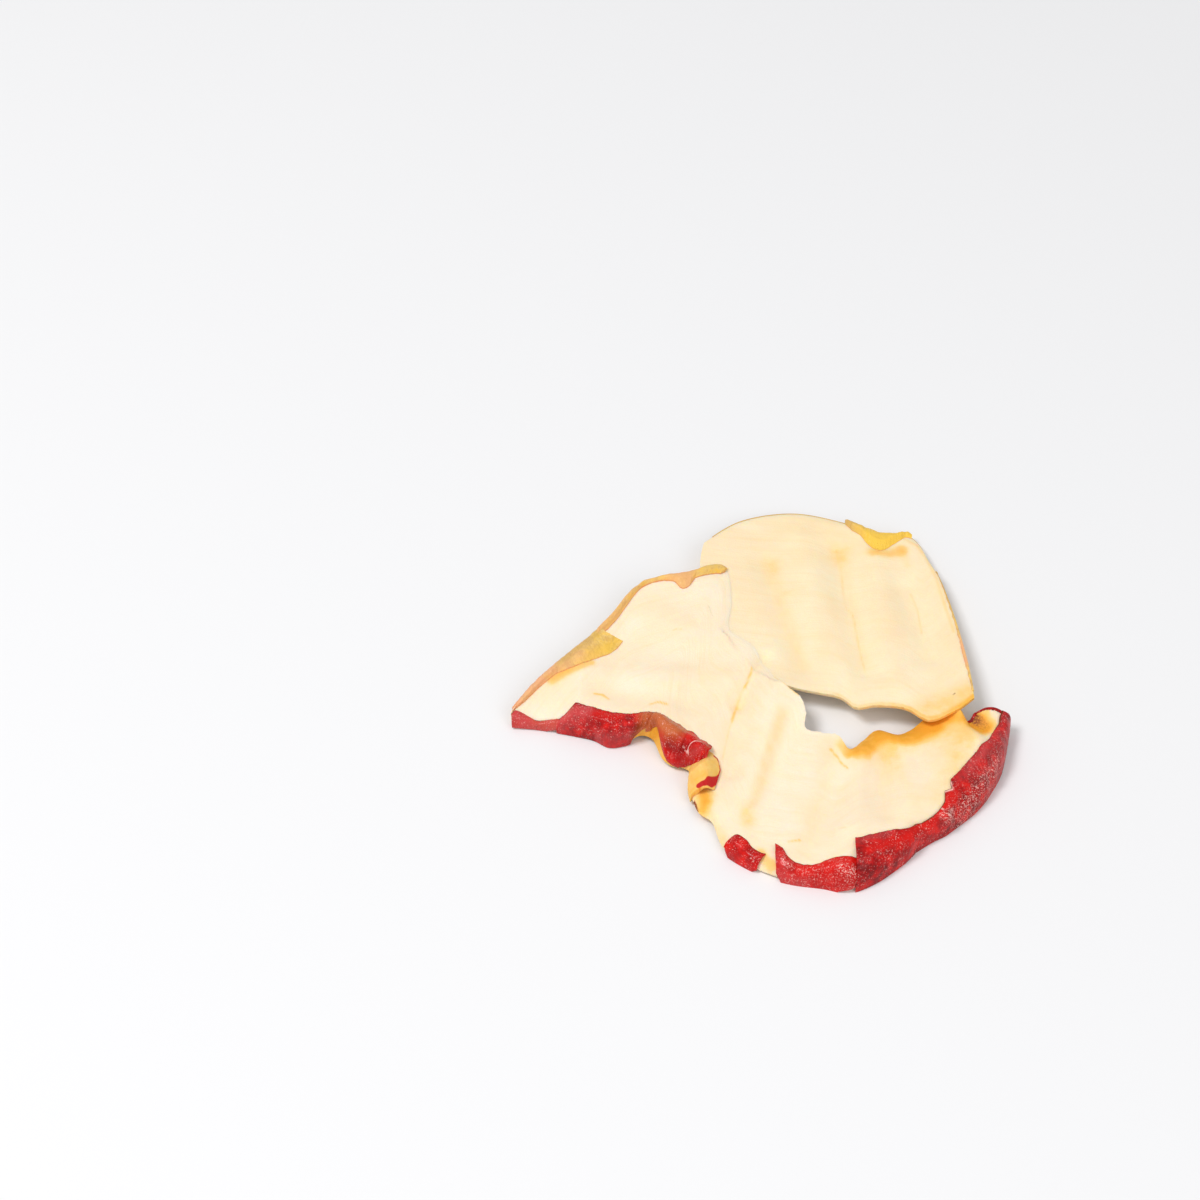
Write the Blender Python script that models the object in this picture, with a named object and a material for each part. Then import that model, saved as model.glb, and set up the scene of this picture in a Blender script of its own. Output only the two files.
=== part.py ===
"""A dried ring slice of red apple, as one closed solid.

The slice is a thin sheet of flesh round an irregular core hole. It is cut through at the
upper left, where the end of the broad front sheet lies over the end of the back sheet. The two
sheets grow together in a narrow neck at the right of the hole. The skin is still on the rim in
torn stretches that have curled over the flesh. All sizes are in millimetres until the last
step, x to the right, y to the back and z up, with the core hole near the middle.
"""

import math
from dataclasses import dataclass

import bmesh
import bpy
from mathutils import Vector, noise

MM = 0.001

# Driving sizes
FLESH_THICKNESS = 1.1
EDGE_THICKNESS = 0.5
EDGE_TAPER = 1.4
SKIN_RISE = 0.35
SKIN_SINK = 0.25
HEM_DROP = 0.4
HEM_SHARE = 0.15
UNEVENNESS = 0.35
UNEVEN_PITCH = 13.0
SWELL_FALL = 7.0
CALM_RIM = 3.0
CALM_END = 3.0
LEVEL_SHARE = 0.7
WIDEST_SHARE = 0.9
BULGE_SPAN = 0.95
BOW_REACH = 2.0
ROW_CROWDING = 1.35
NORMAL_STEP = 0.02
PAIR_COLUMNS = 3
SHEET_ROWS = 15
FLAP_ROWS = 5
FLAP_STAGGER = 1 / 12

# The box's middle in the drawing above, so that the finished chip stands over the origin
DRAWING_CENTRE = Vector((-0.25, 2.38, 0.0))

# Front sheet: pairs of points, one on the back edge and one on the front rim, from the left tip
# past the cut end and the core hole to the right tip
FRONT_SHEET = (
    ((-28.9, -1.6, 1.6), (-28.8, -2.4, 0.8)),
    ((-26.3, 2.0, 2.0), (-25.9, -2.6, 0.6)),
    ((-23.3, 5.6, 2.4), (-23.6, -3.1, 0.6)),
    ((-20.4, 8.7, 2.7), (-21.2, -3.7, 0.6)),
    ((-17.4, 12.7, 3.0), (-19.3, -4.3, 0.6)),
    ((-13.7, 17.8, 3.3), (-17.5, -5.4, 0.6)),
    ((-7.8, 19.5, 3.6), (-15.5, -5.1, 0.6)),
    ((-3.6, 20.8, 3.7), (-13.9, -4.4, 0.8)),
    ((-3.0, 15.1, 3.6), (-12.5, -5.1, 0.8)),
    ((-3.4, 10.6, 3.6), (-11.3, -7.7, 0.7)),
    ((-0.8, 8.0, 3.6), (-9.6, -9.0, 0.6)),
    ((0.9, 4.2, 3.7), (-8.4, -10.1, 0.8)),
    ((2.6, 0.8, 3.8), (-8.4, -13.0, 1.0)),
    ((4.4, -1.0, 3.8), (-7.6, -16.2, 1.0)),
    ((5.0, -3.2, 3.6), (-6.0, -17.9, 1.0)),
    ((4.9, -5.3, 3.2), (-4.8, -21.3, 0.6)),
    ((6.8, -5.8, 3.0), (-1.4, -24.1, 0.5)),
    ((8.6, -5.9, 2.8), (2.1, -25.7, 0.5)),
    ((9.9, -7.5, 2.4), (5.9, -26.4, 0.5)),
    ((11.6, -5.6, 2.4), (9.6, -26.9, 0.5)),
    ((13.3, -4.0, 2.6), (14.7, -23.6, 0.5)),
    ((15.8, -4.8, 2.6), (19.6, -19.2, 0.5)),
    ((18.5, -3.3, 2.6), (23.2, -15.8, 0.5)),
    ((20.5, -1.8, 3.0), (24.6, -14.1, 0.5)),
    ((22.3, -2.4, 3.2), (25.7, -12.3, 0.5)),
    ((23.5, -4.1, 1.7), (27.1, -9.2, 0.7)),
    ((24.4, -3.4, 2.6), (28.3, -3.4, 1.2)),
)

# Back sheet: pairs from the end under the front sheet to the right edge, first the torn edge
# along the core hole, then the back rim
BACK_SHEET = (
    ((1.7, 1.3, 3.2), (-6.0, 25.5, 2.8)),
    ((5.9, 0.4, 3.1), (-1.3, 30.0, 2.0)),
    ((9.1, -0.3, 2.9), (5.3, 32.0, 1.3)),
    ((10.9, -2.2, 3.3), (11.9, 30.1, 1.3)),
    ((13.1, -2.1, 3.6), (15.5, 28.3, 1.3)),
    ((16.4, -2.8, 4.0), (18.7, 28.1, 1.3)),
    ((19.1, -4.9, 4.3), (20.2, 26.3, 1.4)),
    ((22.3, -3.4, 4.4), (21.0, 23.6, 1.6)),
    ((24.4, -1.6, 4.3), (21.7, 21.4, 1.8)),
)

# By pair number: how far the flesh stands up inside the rim, how wide that shoulder is, how far
# the edge at the core hole turns down and how wide that turn is
FRONT_SWELL = ((0, 0.3), (2, 0.9), (3, 2.0), (8, 2.2), (10, 1.8), (11.5, 0.7), (13, 0.3), (14.5, 0.6),
               (15.3, 1.4), (16.3, 1.2), (17, 1.7), (19, 2.5), (21, 2.6), (24, 3.0), (25, 2.7), (26, 1.5))
FRONT_SHOULDER = ((0, 1.0), (2, 1.0), (3, 2.6), (7, 2.2), (10, 2.6), (12, 1.2), (14.5, 1.2), (15.3, 2.0),
                  (18, 2.2), (19, 4.2), (20, 3.6), (21, 2.2), (22, 3.8), (25, 2.2), (26, 1.2))
FRONT_INNER_DROP = ((17.5, 0.0), (18.5, 0.9), (20, 1.2), (21.5, 1.0), (22.3, 0.3), (22.8, 0.0))
FRONT_CURL = ((17.5, 1.3), (18.3, 1.7), (18.7, 2.7), (19.4, 3.7), (20.2, 2.3), (20.7, 2.0), (22, 3.0))
BACK_SWELL = ((0, 0.2), (8, 0.5))
BACK_SHOULDER = ((0, 1.5), (8, 1.5))

# How far the two short ends of a sheet bow out in the middle
FRONT_BOWS = (Vector((0.0, 0.0, 0.0)), Vector((0.3, 0.7, 0.2)))
BACK_BOWS = (Vector((-3.4, 0.0, 0.0)), Vector((0.5, 0.0, 0.0)))

# Ridges and creases that run out from the core hole: two ends, height and half width
FOLDS = (
    ((0.6, 6.0), (-2.6, -1.0), -0.6, 0.9),
    ((-2.6, -1.0), (-4.4, -11.0), -0.5, 1.3),
    ((1.8, 0.5), (-1.7, -16.5), 0.5, 1.7),
    ((3.2, -4.0), (-1.0, -20.0), -0.5, 1.3),
    ((8.2, -7.5), (4.5, -24.0), -0.4, 1.6),
    ((11.2, -8.0), (9.0, -20.0), 0.5, 1.7),
    ((14.0, -8.0), (13.5, -18.5), -0.5, 1.6),
    ((-4.0, 2.5), (-15.0, 3.5), 0.5, 2.2),
    ((-6.0, 9.0), (-13.0, 13.0), 0.4, 2.4),
    ((-9.0, -1.0), (-19.0, 1.0), -0.5, 2.0),
    ((5.0, 4.5), (1.1, 22.5), -0.5, 1.8),
    ((9.0, 3.0), (6.0, 27.0), 0.5, 2.0),
    ((12.3, 4.0), (10.0, 25.0), -0.5, 1.6),
    ((15.5, 1.0), (14.5, 24.0), 0.5, 1.8),
    ((20.0, 6.0), (17.8, 18.0), -0.5, 1.6),
    ((24.5, -5.5), (25.4, -5.6), -0.9, 0.9),
)


def along(points, place):
    """Point at a fractional pair number on the smooth curve through the points."""
    first = min(int(place), len(points) - 2)
    share = place - first
    before = Vector(points[max(first - 1, 0)])
    start = Vector(points[first])
    end = Vector(points[first + 1])
    after = Vector(points[min(first + 2, len(points) - 1)])
    slope_in = (end - before) * 0.5
    slope_out = (after - start) * 0.5
    square = share * share
    cube = square * share
    return (start * (2 * cube - 3 * square + 1) + slope_in * (cube - 2 * square + share)
            + end * (3 * square - 2 * cube) + slope_out * (cube - square))


def level(stops, place):
    """Value at a place between stops of (place, value), held beyond the ends."""
    if place <= stops[0][0]:
        return stops[0][1]
    for (start, low), (end, high) in zip(stops, stops[1:]):
        if place <= end:
            return low + (high - low) * (place - start) / (end - start)
    return stops[-1][1]


def fold_relief(x, y):
    """Height of the ridges and creases at a point of the plan."""
    spot = Vector((x, y))
    height = 0.0
    for start, end, rise, width in FOLDS:
        run = Vector(end) - Vector(start)
        share = max(0.0, min(1.0, (spot - Vector(start)).dot(run) / run.length_squared))
        gap = (spot - Vector(start) - run * share).length
        height += rise * math.exp(-(gap / width) ** 2)
    return height


@dataclass
class Sheet:
    """A sheet of flesh between two edges, with its skin shoulder along the outer one."""

    pairs: tuple
    swell: tuple
    shoulder: tuple
    inner_drop: tuple
    curl: tuple
    bows: tuple

    @property
    def last(self):
        """Number of the last pair."""
        return len(self.pairs) - 1

    def edges(self, place):
        """Inner and outer edge point at a place."""
        inner = along([pair[0] for pair in self.pairs], place)
        outer = along([pair[1] for pair in self.pairs], place)
        return inner, outer

    def width(self, place):
        """Distance in plan between the two edges."""
        inner, outer = self.edges(place)
        return (outer - inner).to_2d().length

    def top(self, place, share):
        """Point of the upper face, share 0 at the inner edge and 1 at the outer."""
        inner, outer = self.edges(place)
        width = (outer - inner).to_2d().length
        point = inner.lerp(outer, share)
        arch = 4 * share * (1 - share)
        point += self.bows[0] * arch * max(0.0, 1 - place / BOW_REACH)
        point += self.bows[1] * arch * max(0.0, 1 - (self.last - place) / BOW_REACH)
        from_rim = (1 - share) * width
        from_hole = share * width
        reach = level(self.shoulder, place)
        if from_rim < reach:
            rise = math.sqrt(max(0.0, 1 - (1 - from_rim / reach) ** 2))
        else:
            rise = math.exp(-((from_rim - reach) / SWELL_FALL) ** 2)
        point.z += level(self.swell, place) * rise
        curl = max(0.0, 1 - from_hole / level(self.curl, place))
        point.z -= level(self.inner_drop, place) * curl * curl
        calm = min(1.0, from_rim / CALM_RIM)
        wave = noise.noise(Vector((point.x, point.y, 4.0)) / UNEVEN_PITCH)
        point.z += calm * (fold_relief(point.x, point.y) + UNEVENNESS * wave)
        return point

    def normal(self, place, share):
        """Direction straight out of the upper face."""
        low, high = max(0.0, place - NORMAL_STEP), min(self.last, place + NORMAL_STEP)
        left, right = max(0.0, share - NORMAL_STEP), min(1.0, share + NORMAL_STEP)
        run = self.top(high, share) - self.top(low, share)
        rise = self.top(place, right) - self.top(place, left)
        out = run.cross(rise).normalized()
        return out if out.z > 0 else -out

    def thickness(self, place, share):
        """Thickness of the flesh, thinner at every edge."""
        width = self.width(place)
        from_end = CALM_END * min(place, self.last - place)
        near = min(share * width, (1 - share) * width, from_end)
        ease = min(1.0, near / EDGE_TAPER)
        return EDGE_THICKNESS + (FLESH_THICKNESS - EDGE_THICKNESS) * ease * (2 - ease)

    def solid_point(self, along_share, across_share, upper):
        """Point of the sheet's solid, for shares of its length and width."""
        place = along_share * self.last
        share = 1 - (1 - across_share) ** ROW_CROWDING
        point = self.top(place, share)
        if not upper:
            down = -Vector((0, 0, 1)).lerp(self.normal(place, share), LEVEL_SHARE * share).normalized()
            point += down * self.thickness(place, share)
        return point


@dataclass
class Flap:
    """A stretch of rim folded over a sheet.

    widths, insets, leans and bulges are stops by pair number: how far the flap reaches over the
    flesh, how far from the rim it starts, how many pairs its torn edge is ahead of its rim, and
    how much it stands up in the middle.
    """

    name: str
    sheet: Sheet
    widths: tuple
    leans: tuple = ((0, 0.0),)
    bulges: tuple = ((0, 0.2),)
    insets: tuple = ((0, 0.0),)
    on_rim: bool = True

    @property
    def columns(self):
        """Columns of the flap, two for each column of its sheet."""
        return round((self.widths[-1][0] - self.widths[0][0]) * PAIR_COLUMNS * 2)

    def solid_point(self, along_share, across_share, upper):
        """Point of the flap's solid: hem, rim, and over the flesh to the torn edge."""
        start, end = self.widths[0][0], self.widths[-1][0]
        rim_place = start + (end - start) * along_share - FLAP_STAGGER
        over = max(0.0, (across_share - HEM_SHARE) / (1 - HEM_SHARE))
        place = rim_place + level(self.leans, rim_place) * over
        inner, outer = self.sheet.edges(place)
        rib = (outer - inner).to_2d()
        outward = rib.normalized().to_3d() * (1 if self.on_rim else -1)
        nearest = level(self.insets, rim_place) + (0.0 if upper else SKIN_SINK)
        reach = nearest + (level(self.widths, rim_place) - nearest) * over
        share = min(WIDEST_SHARE, reach / rib.length)
        share = 1 - share if self.on_rim else share
        if across_share < HEM_SHARE:
            start_share = nearest / rib.length
            start_share = 1 - start_share if self.on_rim else start_share
            side = outward * SKIN_SINK if upper else Vector()
            return self.sheet.top(place, start_share) + side - Vector((0, 0, HEM_DROP))
        point = self.sheet.top(place, share)
        direction = self.sheet.normal(place, share)
        if not upper:
            return point - direction * SKIN_SINK
        bulge = level(self.bulges, rim_place) * math.sin(math.pi * over * BULGE_SPAN)
        return point + direction * (SKIN_RISE + bulge)


def slab(name, columns, rows, solid_point):
    """Closed solid from a flat slab whose points are moved by solid_point."""
    shape = bmesh.new()
    bmesh.ops.create_grid(shape, x_segments=columns, y_segments=rows, size=0.5)
    base = shape.faces[:] + shape.edges[:] + shape.verts[:]
    raised = bmesh.ops.extrude_face_region(shape, geom=base, use_keep_orig=True)["geom"]
    top_verts = [item for item in raised if isinstance(item, bmesh.types.BMVert)]
    bmesh.ops.translate(shape, verts=top_verts, vec=(0, 0, 1))
    for vert in shape.verts:
        upper = vert.co.z > 0.5
        vert.co = solid_point(vert.co.x + 0.5, vert.co.y + 0.5, upper)
    bmesh.ops.recalc_face_normals(shape, faces=shape.faces)
    mesh = bpy.data.meshes.new(name)
    shape.to_mesh(mesh)
    shape.free()
    piece = bpy.data.objects.new(name, mesh)
    return piece


def tidy(mesh):
    """Drops the points that only part an edge in two, and cuts all faces to triangles."""
    shape = bmesh.new()
    shape.from_mesh(mesh)
    spare = [vert for vert in shape.verts if len(vert.link_edges) == 2]
    bmesh.ops.dissolve_verts(shape, verts=spare)
    bmesh.ops.triangulate(shape, faces=shape.faces)
    shape.to_mesh(mesh)
    shape.free()


def fuse(name, pieces):
    """One object from the union of the pieces, which are then removed."""
    group = bpy.data.collections.new("pieces")
    bpy.context.scene.collection.children.link(group)
    first, others = pieces[0], pieces[1:]
    bpy.context.scene.collection.objects.link(first)
    for piece in others:
        group.objects.link(piece)
    union = first.modifiers.new("union", "BOOLEAN")
    union.operation = "UNION"
    union.operand_type = "COLLECTION"
    union.collection = group
    union.solver = "EXACT"
    view = bpy.context.evaluated_depsgraph_get()
    mesh = bpy.data.meshes.new_from_object(first.evaluated_get(view))
    tidy(mesh)
    for piece in pieces:
        bpy.data.objects.remove(piece)
    bpy.data.collections.remove(group)
    chip = bpy.data.objects.new(name, mesh)
    bpy.context.scene.collection.objects.link(chip)
    return chip


def settle(chip):
    """Brings the chip to metres, over the origin and down onto the surface below it."""
    lowest = min(vert.co.z for vert in chip.data.vertices)
    for vert in chip.data.vertices:
        vert.co = (vert.co - DRAWING_CENTRE - Vector((0, 0, lowest))) * MM


def flesh_material():
    """Cream dried flesh."""
    material = bpy.data.materials.new("apple_flesh")
    material.use_nodes = True
    shader = material.node_tree.nodes["Principled BSDF"]
    shader.inputs["Base Color"].default_value = (0.93, 0.78, 0.50, 1.0)
    shader.inputs["Roughness"].default_value = 0.6
    shader.inputs["Metallic"].default_value = 0.0
    return material


def make_flaps(front, back):
    """The torn stretches of rim that are folded over the two sheets."""
    return (
        Flap("left_tip_skin", front, ((0, 0.9), (0.4, 1.2), (0.8, 0.7), (2.33, 0.6)),
             bulges=((0, 0.1),), insets=((1.5, 0.0), (2.33, 0.15))),
        Flap("lower_left_band", front,
             ((2, 0.5), (2.5, 1.3), (2.9, 2.3), (3.6, 2.2), (4.6, 2.6), (5.1, 2.6), (6, 2.2), (8, 1.6)),
             bulges=((2, 0.1), (3, 0.5))),
        Flap("curled_end", front,
             ((7.33, 1.7), (7.8, 1.6), (8.7, 2.4), (9.4, 2.7), (10.7, 2.8), (11.3, 3.6), (11.75, 4.1)),
             leans=((10.7, 0.0), (11.75, -0.4)), bulges=((7.33, 0.4), (8.5, 1.5), (10.6, 1.5), (11.75, 0.7)),
             insets=((7.33, 0.2), (8.2, 0.9), (9.3, 0.0), (10, 0.0), (11, 1.0), (11.75, 2.0))),
        Flap("flesh_roll", front,
             ((10.9, 3.2), (11.2, 4.3), (11.5, 5.0), (11.9, 5.0), (12.15, 3.8)),
             leans=((10.9, 0.3), (11.5, 0.5), (12.15, 0.6)), bulges=((0, 0.8),)),
        Flap("small_patch", front,
             ((15, 0.5), (15.15, 0.8), (15.3, 1.8), (15.54, 1.8), (15.77, 1.3), (16.05, 1.6)),
             leans=((15.7, 0.0), (16.05, 0.15))),
        Flap("front_band", front,
             ((16.6, 3.2), (16.9, 2.4), (17.25, 1.4), (17.76, 1.3), (18.27, 2.1), (19.17, 2.7)),
             leans=((16.6, -0.3), (17.3, 0.0)), insets=((18.5, 0.0), (19.17, 0.15))),
        Flap("right_band", front,
             ((19, 4.9), (19.4, 4.2), (19.8, 3.2), (20.5, 1.6), (21, 1.5), (21.3, 2.5), (21.55, 2.6),
              (21.6, 3.4), (23.9, 3.3), (25.4, 1.4), (26.12, 1.1)),
             leans=((19, -0.1), (20, 0.0)), bulges=((19, 0.5), (20, 0.2))),
        Flap("left_fold", front,
             ((1.3, 0.5), (2, 1.8), (2.5, 2.9), (3, 4.8), (3.85, 8.4)),
             leans=((1.3, 0.0), (2, 0.1), (3.85, 0.85)), bulges=((0, 0.15),),
             insets=((3.3, 0.0), (3.85, 0.15)), on_rim=False),
        Flap("top_strip", front,
             ((3.67, 1.3), (4.1, 1.4), (4.6, 1.8), (5, 1.8), (5.5, 1.0), (5.75, 1.8), (5.95, 3.1),
              (6.1, 1.5), (6.7, 1.4), (7, 0.6)), bulges=((0, 0.15),), on_rim=False),
        Flap("back_fold", back,
             ((2.85, 0.6), (3.3, 2.5), (4, 3.6), (4.35, 2.8), (4.9, 1.2), (5.4, 0.5)),
             bulges=((0, 0.3),)),
    )


def main():
    """Builds the chip."""
    for old in list(bpy.data.objects):
        bpy.data.objects.remove(old)
    front = Sheet(FRONT_SHEET, FRONT_SWELL, FRONT_SHOULDER, FRONT_INNER_DROP, FRONT_CURL, FRONT_BOWS)
    back = Sheet(BACK_SHEET, BACK_SWELL, BACK_SHOULDER, ((0, 0.0),), ((0, 1.0),), BACK_BOWS)
    pieces = [slab("front_sheet", front.last * PAIR_COLUMNS, SHEET_ROWS, front.solid_point),
              slab("back_sheet", back.last * PAIR_COLUMNS, SHEET_ROWS, back.solid_point)]
    for flap in make_flaps(front, back):
        pieces.append(slab(flap.name, flap.columns, FLAP_ROWS, flap.solid_point))
    chip = fuse("apple_chip", pieces)
    settle(chip)
    chip.data.materials.clear()
    chip.data.materials.append(flesh_material())
    chip.data.shade_smooth()
    chip.data.set_sharp_from_angle(angle=math.radians(40))


main()
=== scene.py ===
"""A dried ring slice of red apple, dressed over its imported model.

The chip is a wavy sheet of pale flesh round an open core. It is cut through at the upper left,
where the front sheet lies over the back one. The skin is still on the rim, in torn stretches
that have curled over the flesh. Sizes are in millimetres until a piece is finished.
"""

import logging
import math
from dataclasses import dataclass, field
from enum import Enum
from typing import Callable, Optional, Union

import bmesh
import bpy
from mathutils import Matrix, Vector, noise
from mathutils.bvhtree import BVHTree


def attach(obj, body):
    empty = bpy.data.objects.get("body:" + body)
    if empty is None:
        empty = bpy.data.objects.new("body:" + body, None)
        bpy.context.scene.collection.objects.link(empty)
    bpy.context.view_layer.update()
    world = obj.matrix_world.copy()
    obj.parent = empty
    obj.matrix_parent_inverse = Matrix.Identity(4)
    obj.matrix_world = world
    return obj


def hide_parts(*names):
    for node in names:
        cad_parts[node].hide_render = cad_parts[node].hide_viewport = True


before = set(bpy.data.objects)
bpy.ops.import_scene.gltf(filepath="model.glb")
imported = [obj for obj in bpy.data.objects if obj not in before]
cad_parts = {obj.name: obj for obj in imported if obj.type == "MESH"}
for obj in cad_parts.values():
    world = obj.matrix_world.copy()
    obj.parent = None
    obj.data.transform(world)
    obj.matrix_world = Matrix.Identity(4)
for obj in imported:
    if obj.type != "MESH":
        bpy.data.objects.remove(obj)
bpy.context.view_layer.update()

MM = 0.001
NODE = "apple_chip"
BODY = "root"
UP = Vector((0.0, 0.0, 1.0))

# Steeper folds of a piece are shaded sharp
SHARP_ANGLE = math.radians(50)

# Scale by which textures count in millimetres
PER_MM = (1000.0, 1000.0, 1000.0)

# Millimetres along the rim for one pair, so that patterns keep their scale
PAIR_RUN = 3.1

# Widths within which a mark or a fold still counts
BELL_REACH = 3

# Height over the drawing from which the bed of a sheet is sought
CAST_HEIGHT = 50

# The middle of the model's box in the drawing of the chip
DRAWING_CENTRE = Vector((-0.25, 2.38, 0.0))

Stops = tuple[tuple[float, float], ...]
Layers = tuple[tuple[float, float, float], ...]
Spot = tuple[float, float, float]
Colour = tuple[float, float, float]
Masks = dict[str, float]
Relief = tuple[float, float]
Material = bpy.types.Material
Piece = bpy.types.Object
Socket = bpy.types.NodeSocket
Feed = Union[Socket, Colour, float]

log = logging.getLogger("apple_chip")


class Side(Enum):
    """The edge of a sheet that a flap is folded over."""

    RIM = "outer"
    CUT = "inner"


class Slot(Enum):
    """The record's material slots."""

    FLESH = "flesh"
    RED = "red_skin"
    GREEN = "green_skin"


# Front sheet: pairs of points, one on the back edge and one on the front rim, from the left tip
# past the cut end and the core hole to the right tip
FRONT_PAIRS: tuple[tuple[Spot, Spot], ...] = (
    ((-28.9, -1.6, 1.6), (-28.8, -2.4, 0.8)),
    ((-26.3, 2.0, 2.0), (-25.9, -2.6, 0.6)),
    ((-23.3, 5.6, 2.4), (-23.6, -3.1, 0.6)),
    ((-20.4, 8.7, 2.7), (-21.2, -3.7, 0.6)),
    ((-17.4, 12.7, 3.0), (-19.3, -4.3, 0.6)),
    ((-13.7, 17.8, 3.3), (-17.5, -5.4, 0.6)),
    ((-7.8, 19.5, 3.6), (-15.5, -5.1, 0.6)),
    ((-3.6, 20.8, 3.7), (-13.9, -4.4, 0.8)),
    ((-3.0, 15.1, 3.6), (-12.5, -5.1, 0.8)),
    ((-3.4, 10.6, 3.6), (-11.3, -7.7, 0.7)),
    ((-0.8, 8.0, 3.6), (-9.6, -9.0, 0.6)),
    ((0.9, 4.2, 3.7), (-8.4, -10.1, 0.8)),
    ((2.6, 0.8, 3.8), (-8.4, -13.0, 1.0)),
    ((4.4, -1.0, 3.8), (-7.6, -16.2, 1.0)),
    ((5.0, -3.2, 3.6), (-6.0, -17.9, 1.0)),
    ((4.9, -5.3, 3.2), (-4.8, -21.3, 0.6)),
    ((6.8, -5.8, 3.0), (-1.4, -24.1, 0.5)),
    ((8.6, -5.9, 2.8), (2.1, -25.7, 0.5)),
    ((9.9, -7.5, 2.4), (5.9, -26.4, 0.5)),
    ((11.6, -5.6, 2.4), (9.6, -26.9, 0.5)),
    ((13.3, -4.0, 2.6), (14.7, -23.6, 0.5)),
    ((15.8, -4.8, 2.6), (19.6, -19.2, 0.5)),
    ((18.5, -3.3, 2.6), (23.2, -15.8, 0.5)),
    ((20.5, -1.8, 3.0), (24.6, -14.1, 0.5)),
    ((22.3, -2.4, 3.2), (25.7, -12.3, 0.5)),
    ((23.5, -4.1, 1.7), (27.1, -9.2, 0.7)),
    ((24.4, -3.4, 2.6), (28.3, -3.4, 1.2)),
)

# Back sheet: pairs from the end under the front sheet to the right edge, first the torn edge
# along the core hole, then the back rim
BACK_PAIRS: tuple[tuple[Spot, Spot], ...] = (
    ((1.7, 1.3, 3.2), (-6.0, 25.5, 2.8)),
    ((5.9, 0.4, 3.1), (-1.3, 30.0, 2.0)),
    ((9.1, -0.3, 2.9), (5.3, 32.0, 1.3)),
    ((10.9, -2.2, 3.3), (11.9, 30.1, 1.3)),
    ((13.1, -2.1, 3.6), (15.5, 28.3, 1.3)),
    ((16.4, -2.8, 4.0), (18.7, 28.1, 1.3)),
    ((19.1, -4.9, 4.3), (20.2, 26.3, 1.4)),
    ((22.3, -3.4, 4.4), (21.0, 23.6, 1.6)),
    ((24.4, -1.6, 4.3), (21.7, 21.4, 1.8)),
)

# Ridges and creases that run out from the core hole: two ends, height and half width
FOLDS = (
    ((0.6, 6.0), (-2.6, -1.0), -0.6, 0.9),
    ((-2.6, -1.0), (-4.4, -11.0), -0.5, 1.3),
    ((1.8, 0.5), (-1.7, -16.5), 0.5, 1.7),
    ((2.6, -4.0), (-1.6, -20.0), -0.35, 1.3),
    ((8.2, -7.5), (4.5, -24.0), -0.4, 1.6),
    ((11.2, -8.0), (9.0, -20.0), 0.5, 1.7),
    ((14.0, -8.0), (13.5, -18.5), -0.5, 1.6),
    ((-4.0, 2.5), (-15.0, 3.5), 0.5, 2.2),
    ((-6.0, 9.0), (-13.0, 13.0), 0.4, 2.4),
    ((-9.0, -1.0), (-19.0, 1.0), -0.5, 2.0),
    ((5.0, 4.5), (1.1, 22.5), -0.4, 1.8),
    ((9.0, 3.0), (6.0, 27.0), 0.4, 2.0),
    ((12.3, 4.0), (10.0, 25.0), -0.4, 1.6),
    ((15.5, 1.0), (14.5, 24.0), 0.4, 1.8),
    ((20.0, 6.0), (17.8, 18.0), -0.4, 1.6),
    ((24.3, -4.8), (25.2, -5.3), -1.0, 1.5),
)

# Layers of noise, each with its strength, its pitch and its number
RIPPLES: Layers = ((0.05, 2.6, 2.0), (0.025, 0.9, 5.0))
SHEET_TEARS: Layers = ((1.0, 0.55, 7.0), (0.6, 0.2, 9.0))
FLAP_TEARS: Layers = ((1.0, 0.5, 3.0), (0.5, 0.17, 6.0))
LIP_TEARS: Layers = ((0.12, 1.7, 3.0),)
LONG_CREASES: Layers = ((1.0, 0.5, 1.0),)
CROSS_CREASES: Layers = ((1.0, 0.45, 8.0),)
FINE_CREASES: Layers = ((0.4, 0.22, 5.0),)

# How far the creases of a flap are drawn out across it and along it
CREASE_STRETCH_ACROSS = 0.35
CREASE_STRETCH_ALONG = 0.4


def along(points: list[Vector], place: float) -> Vector:
    """Point at a fractional number on the smooth curve through the points.

    Args:
        points: the points that the curve passes through.
        place: the number of a point, or a value between two numbers.

    Returns:
        The point of the curve.
    """
    first = min(max(int(place), 0), len(points) - 2)
    share = place - first
    before = points[max(first - 1, 0)]
    start = points[first]
    end = points[first + 1]
    after = points[min(first + 2, len(points) - 1)]
    slope_in = (end - before) * 0.5
    slope_out = (after - start) * 0.5
    square = share * share
    cube = square * share
    return (start * (2 * cube - 3 * square + 1) + slope_in * (cube - 2 * square + share)
            + end * (3 * square - 2 * cube) + slope_out * (cube - square))


def level(stops: Stops, place: float) -> float:
    """Value at a place between stops of (place, value), held beyond the ends.

    Args:
        stops: the stops, in rising order of place.
        place: where the value is wanted.

    Returns:
        The value there.
    """
    if place <= stops[0][0]:
        return stops[0][1]
    for (start, low), (end, high) in zip(stops, stops[1:]):
        if place <= end:
            return low + (high - low) * (place - start) / (end - start)
    return stops[-1][1]


def smooth(value: float) -> float:
    """Value from 0 to 1, eased at both ends and held beyond them."""
    value = min(1.0, max(0.0, value))
    return value * value * (3 - 2 * value)


def grain(x: float, y: float, pitch: float, layer: float) -> float:
    """Noise from about -1 to 1 at a place, with bumps of the given pitch."""
    return noise.noise(Vector((x / pitch, y / pitch, layer)))


def grains(x: float, y: float, layers: Layers) -> float:
    """Sum of the layers of noise at a place."""
    return sum(strength * grain(x, y, pitch, layer) for strength, pitch, layer in layers)


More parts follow.
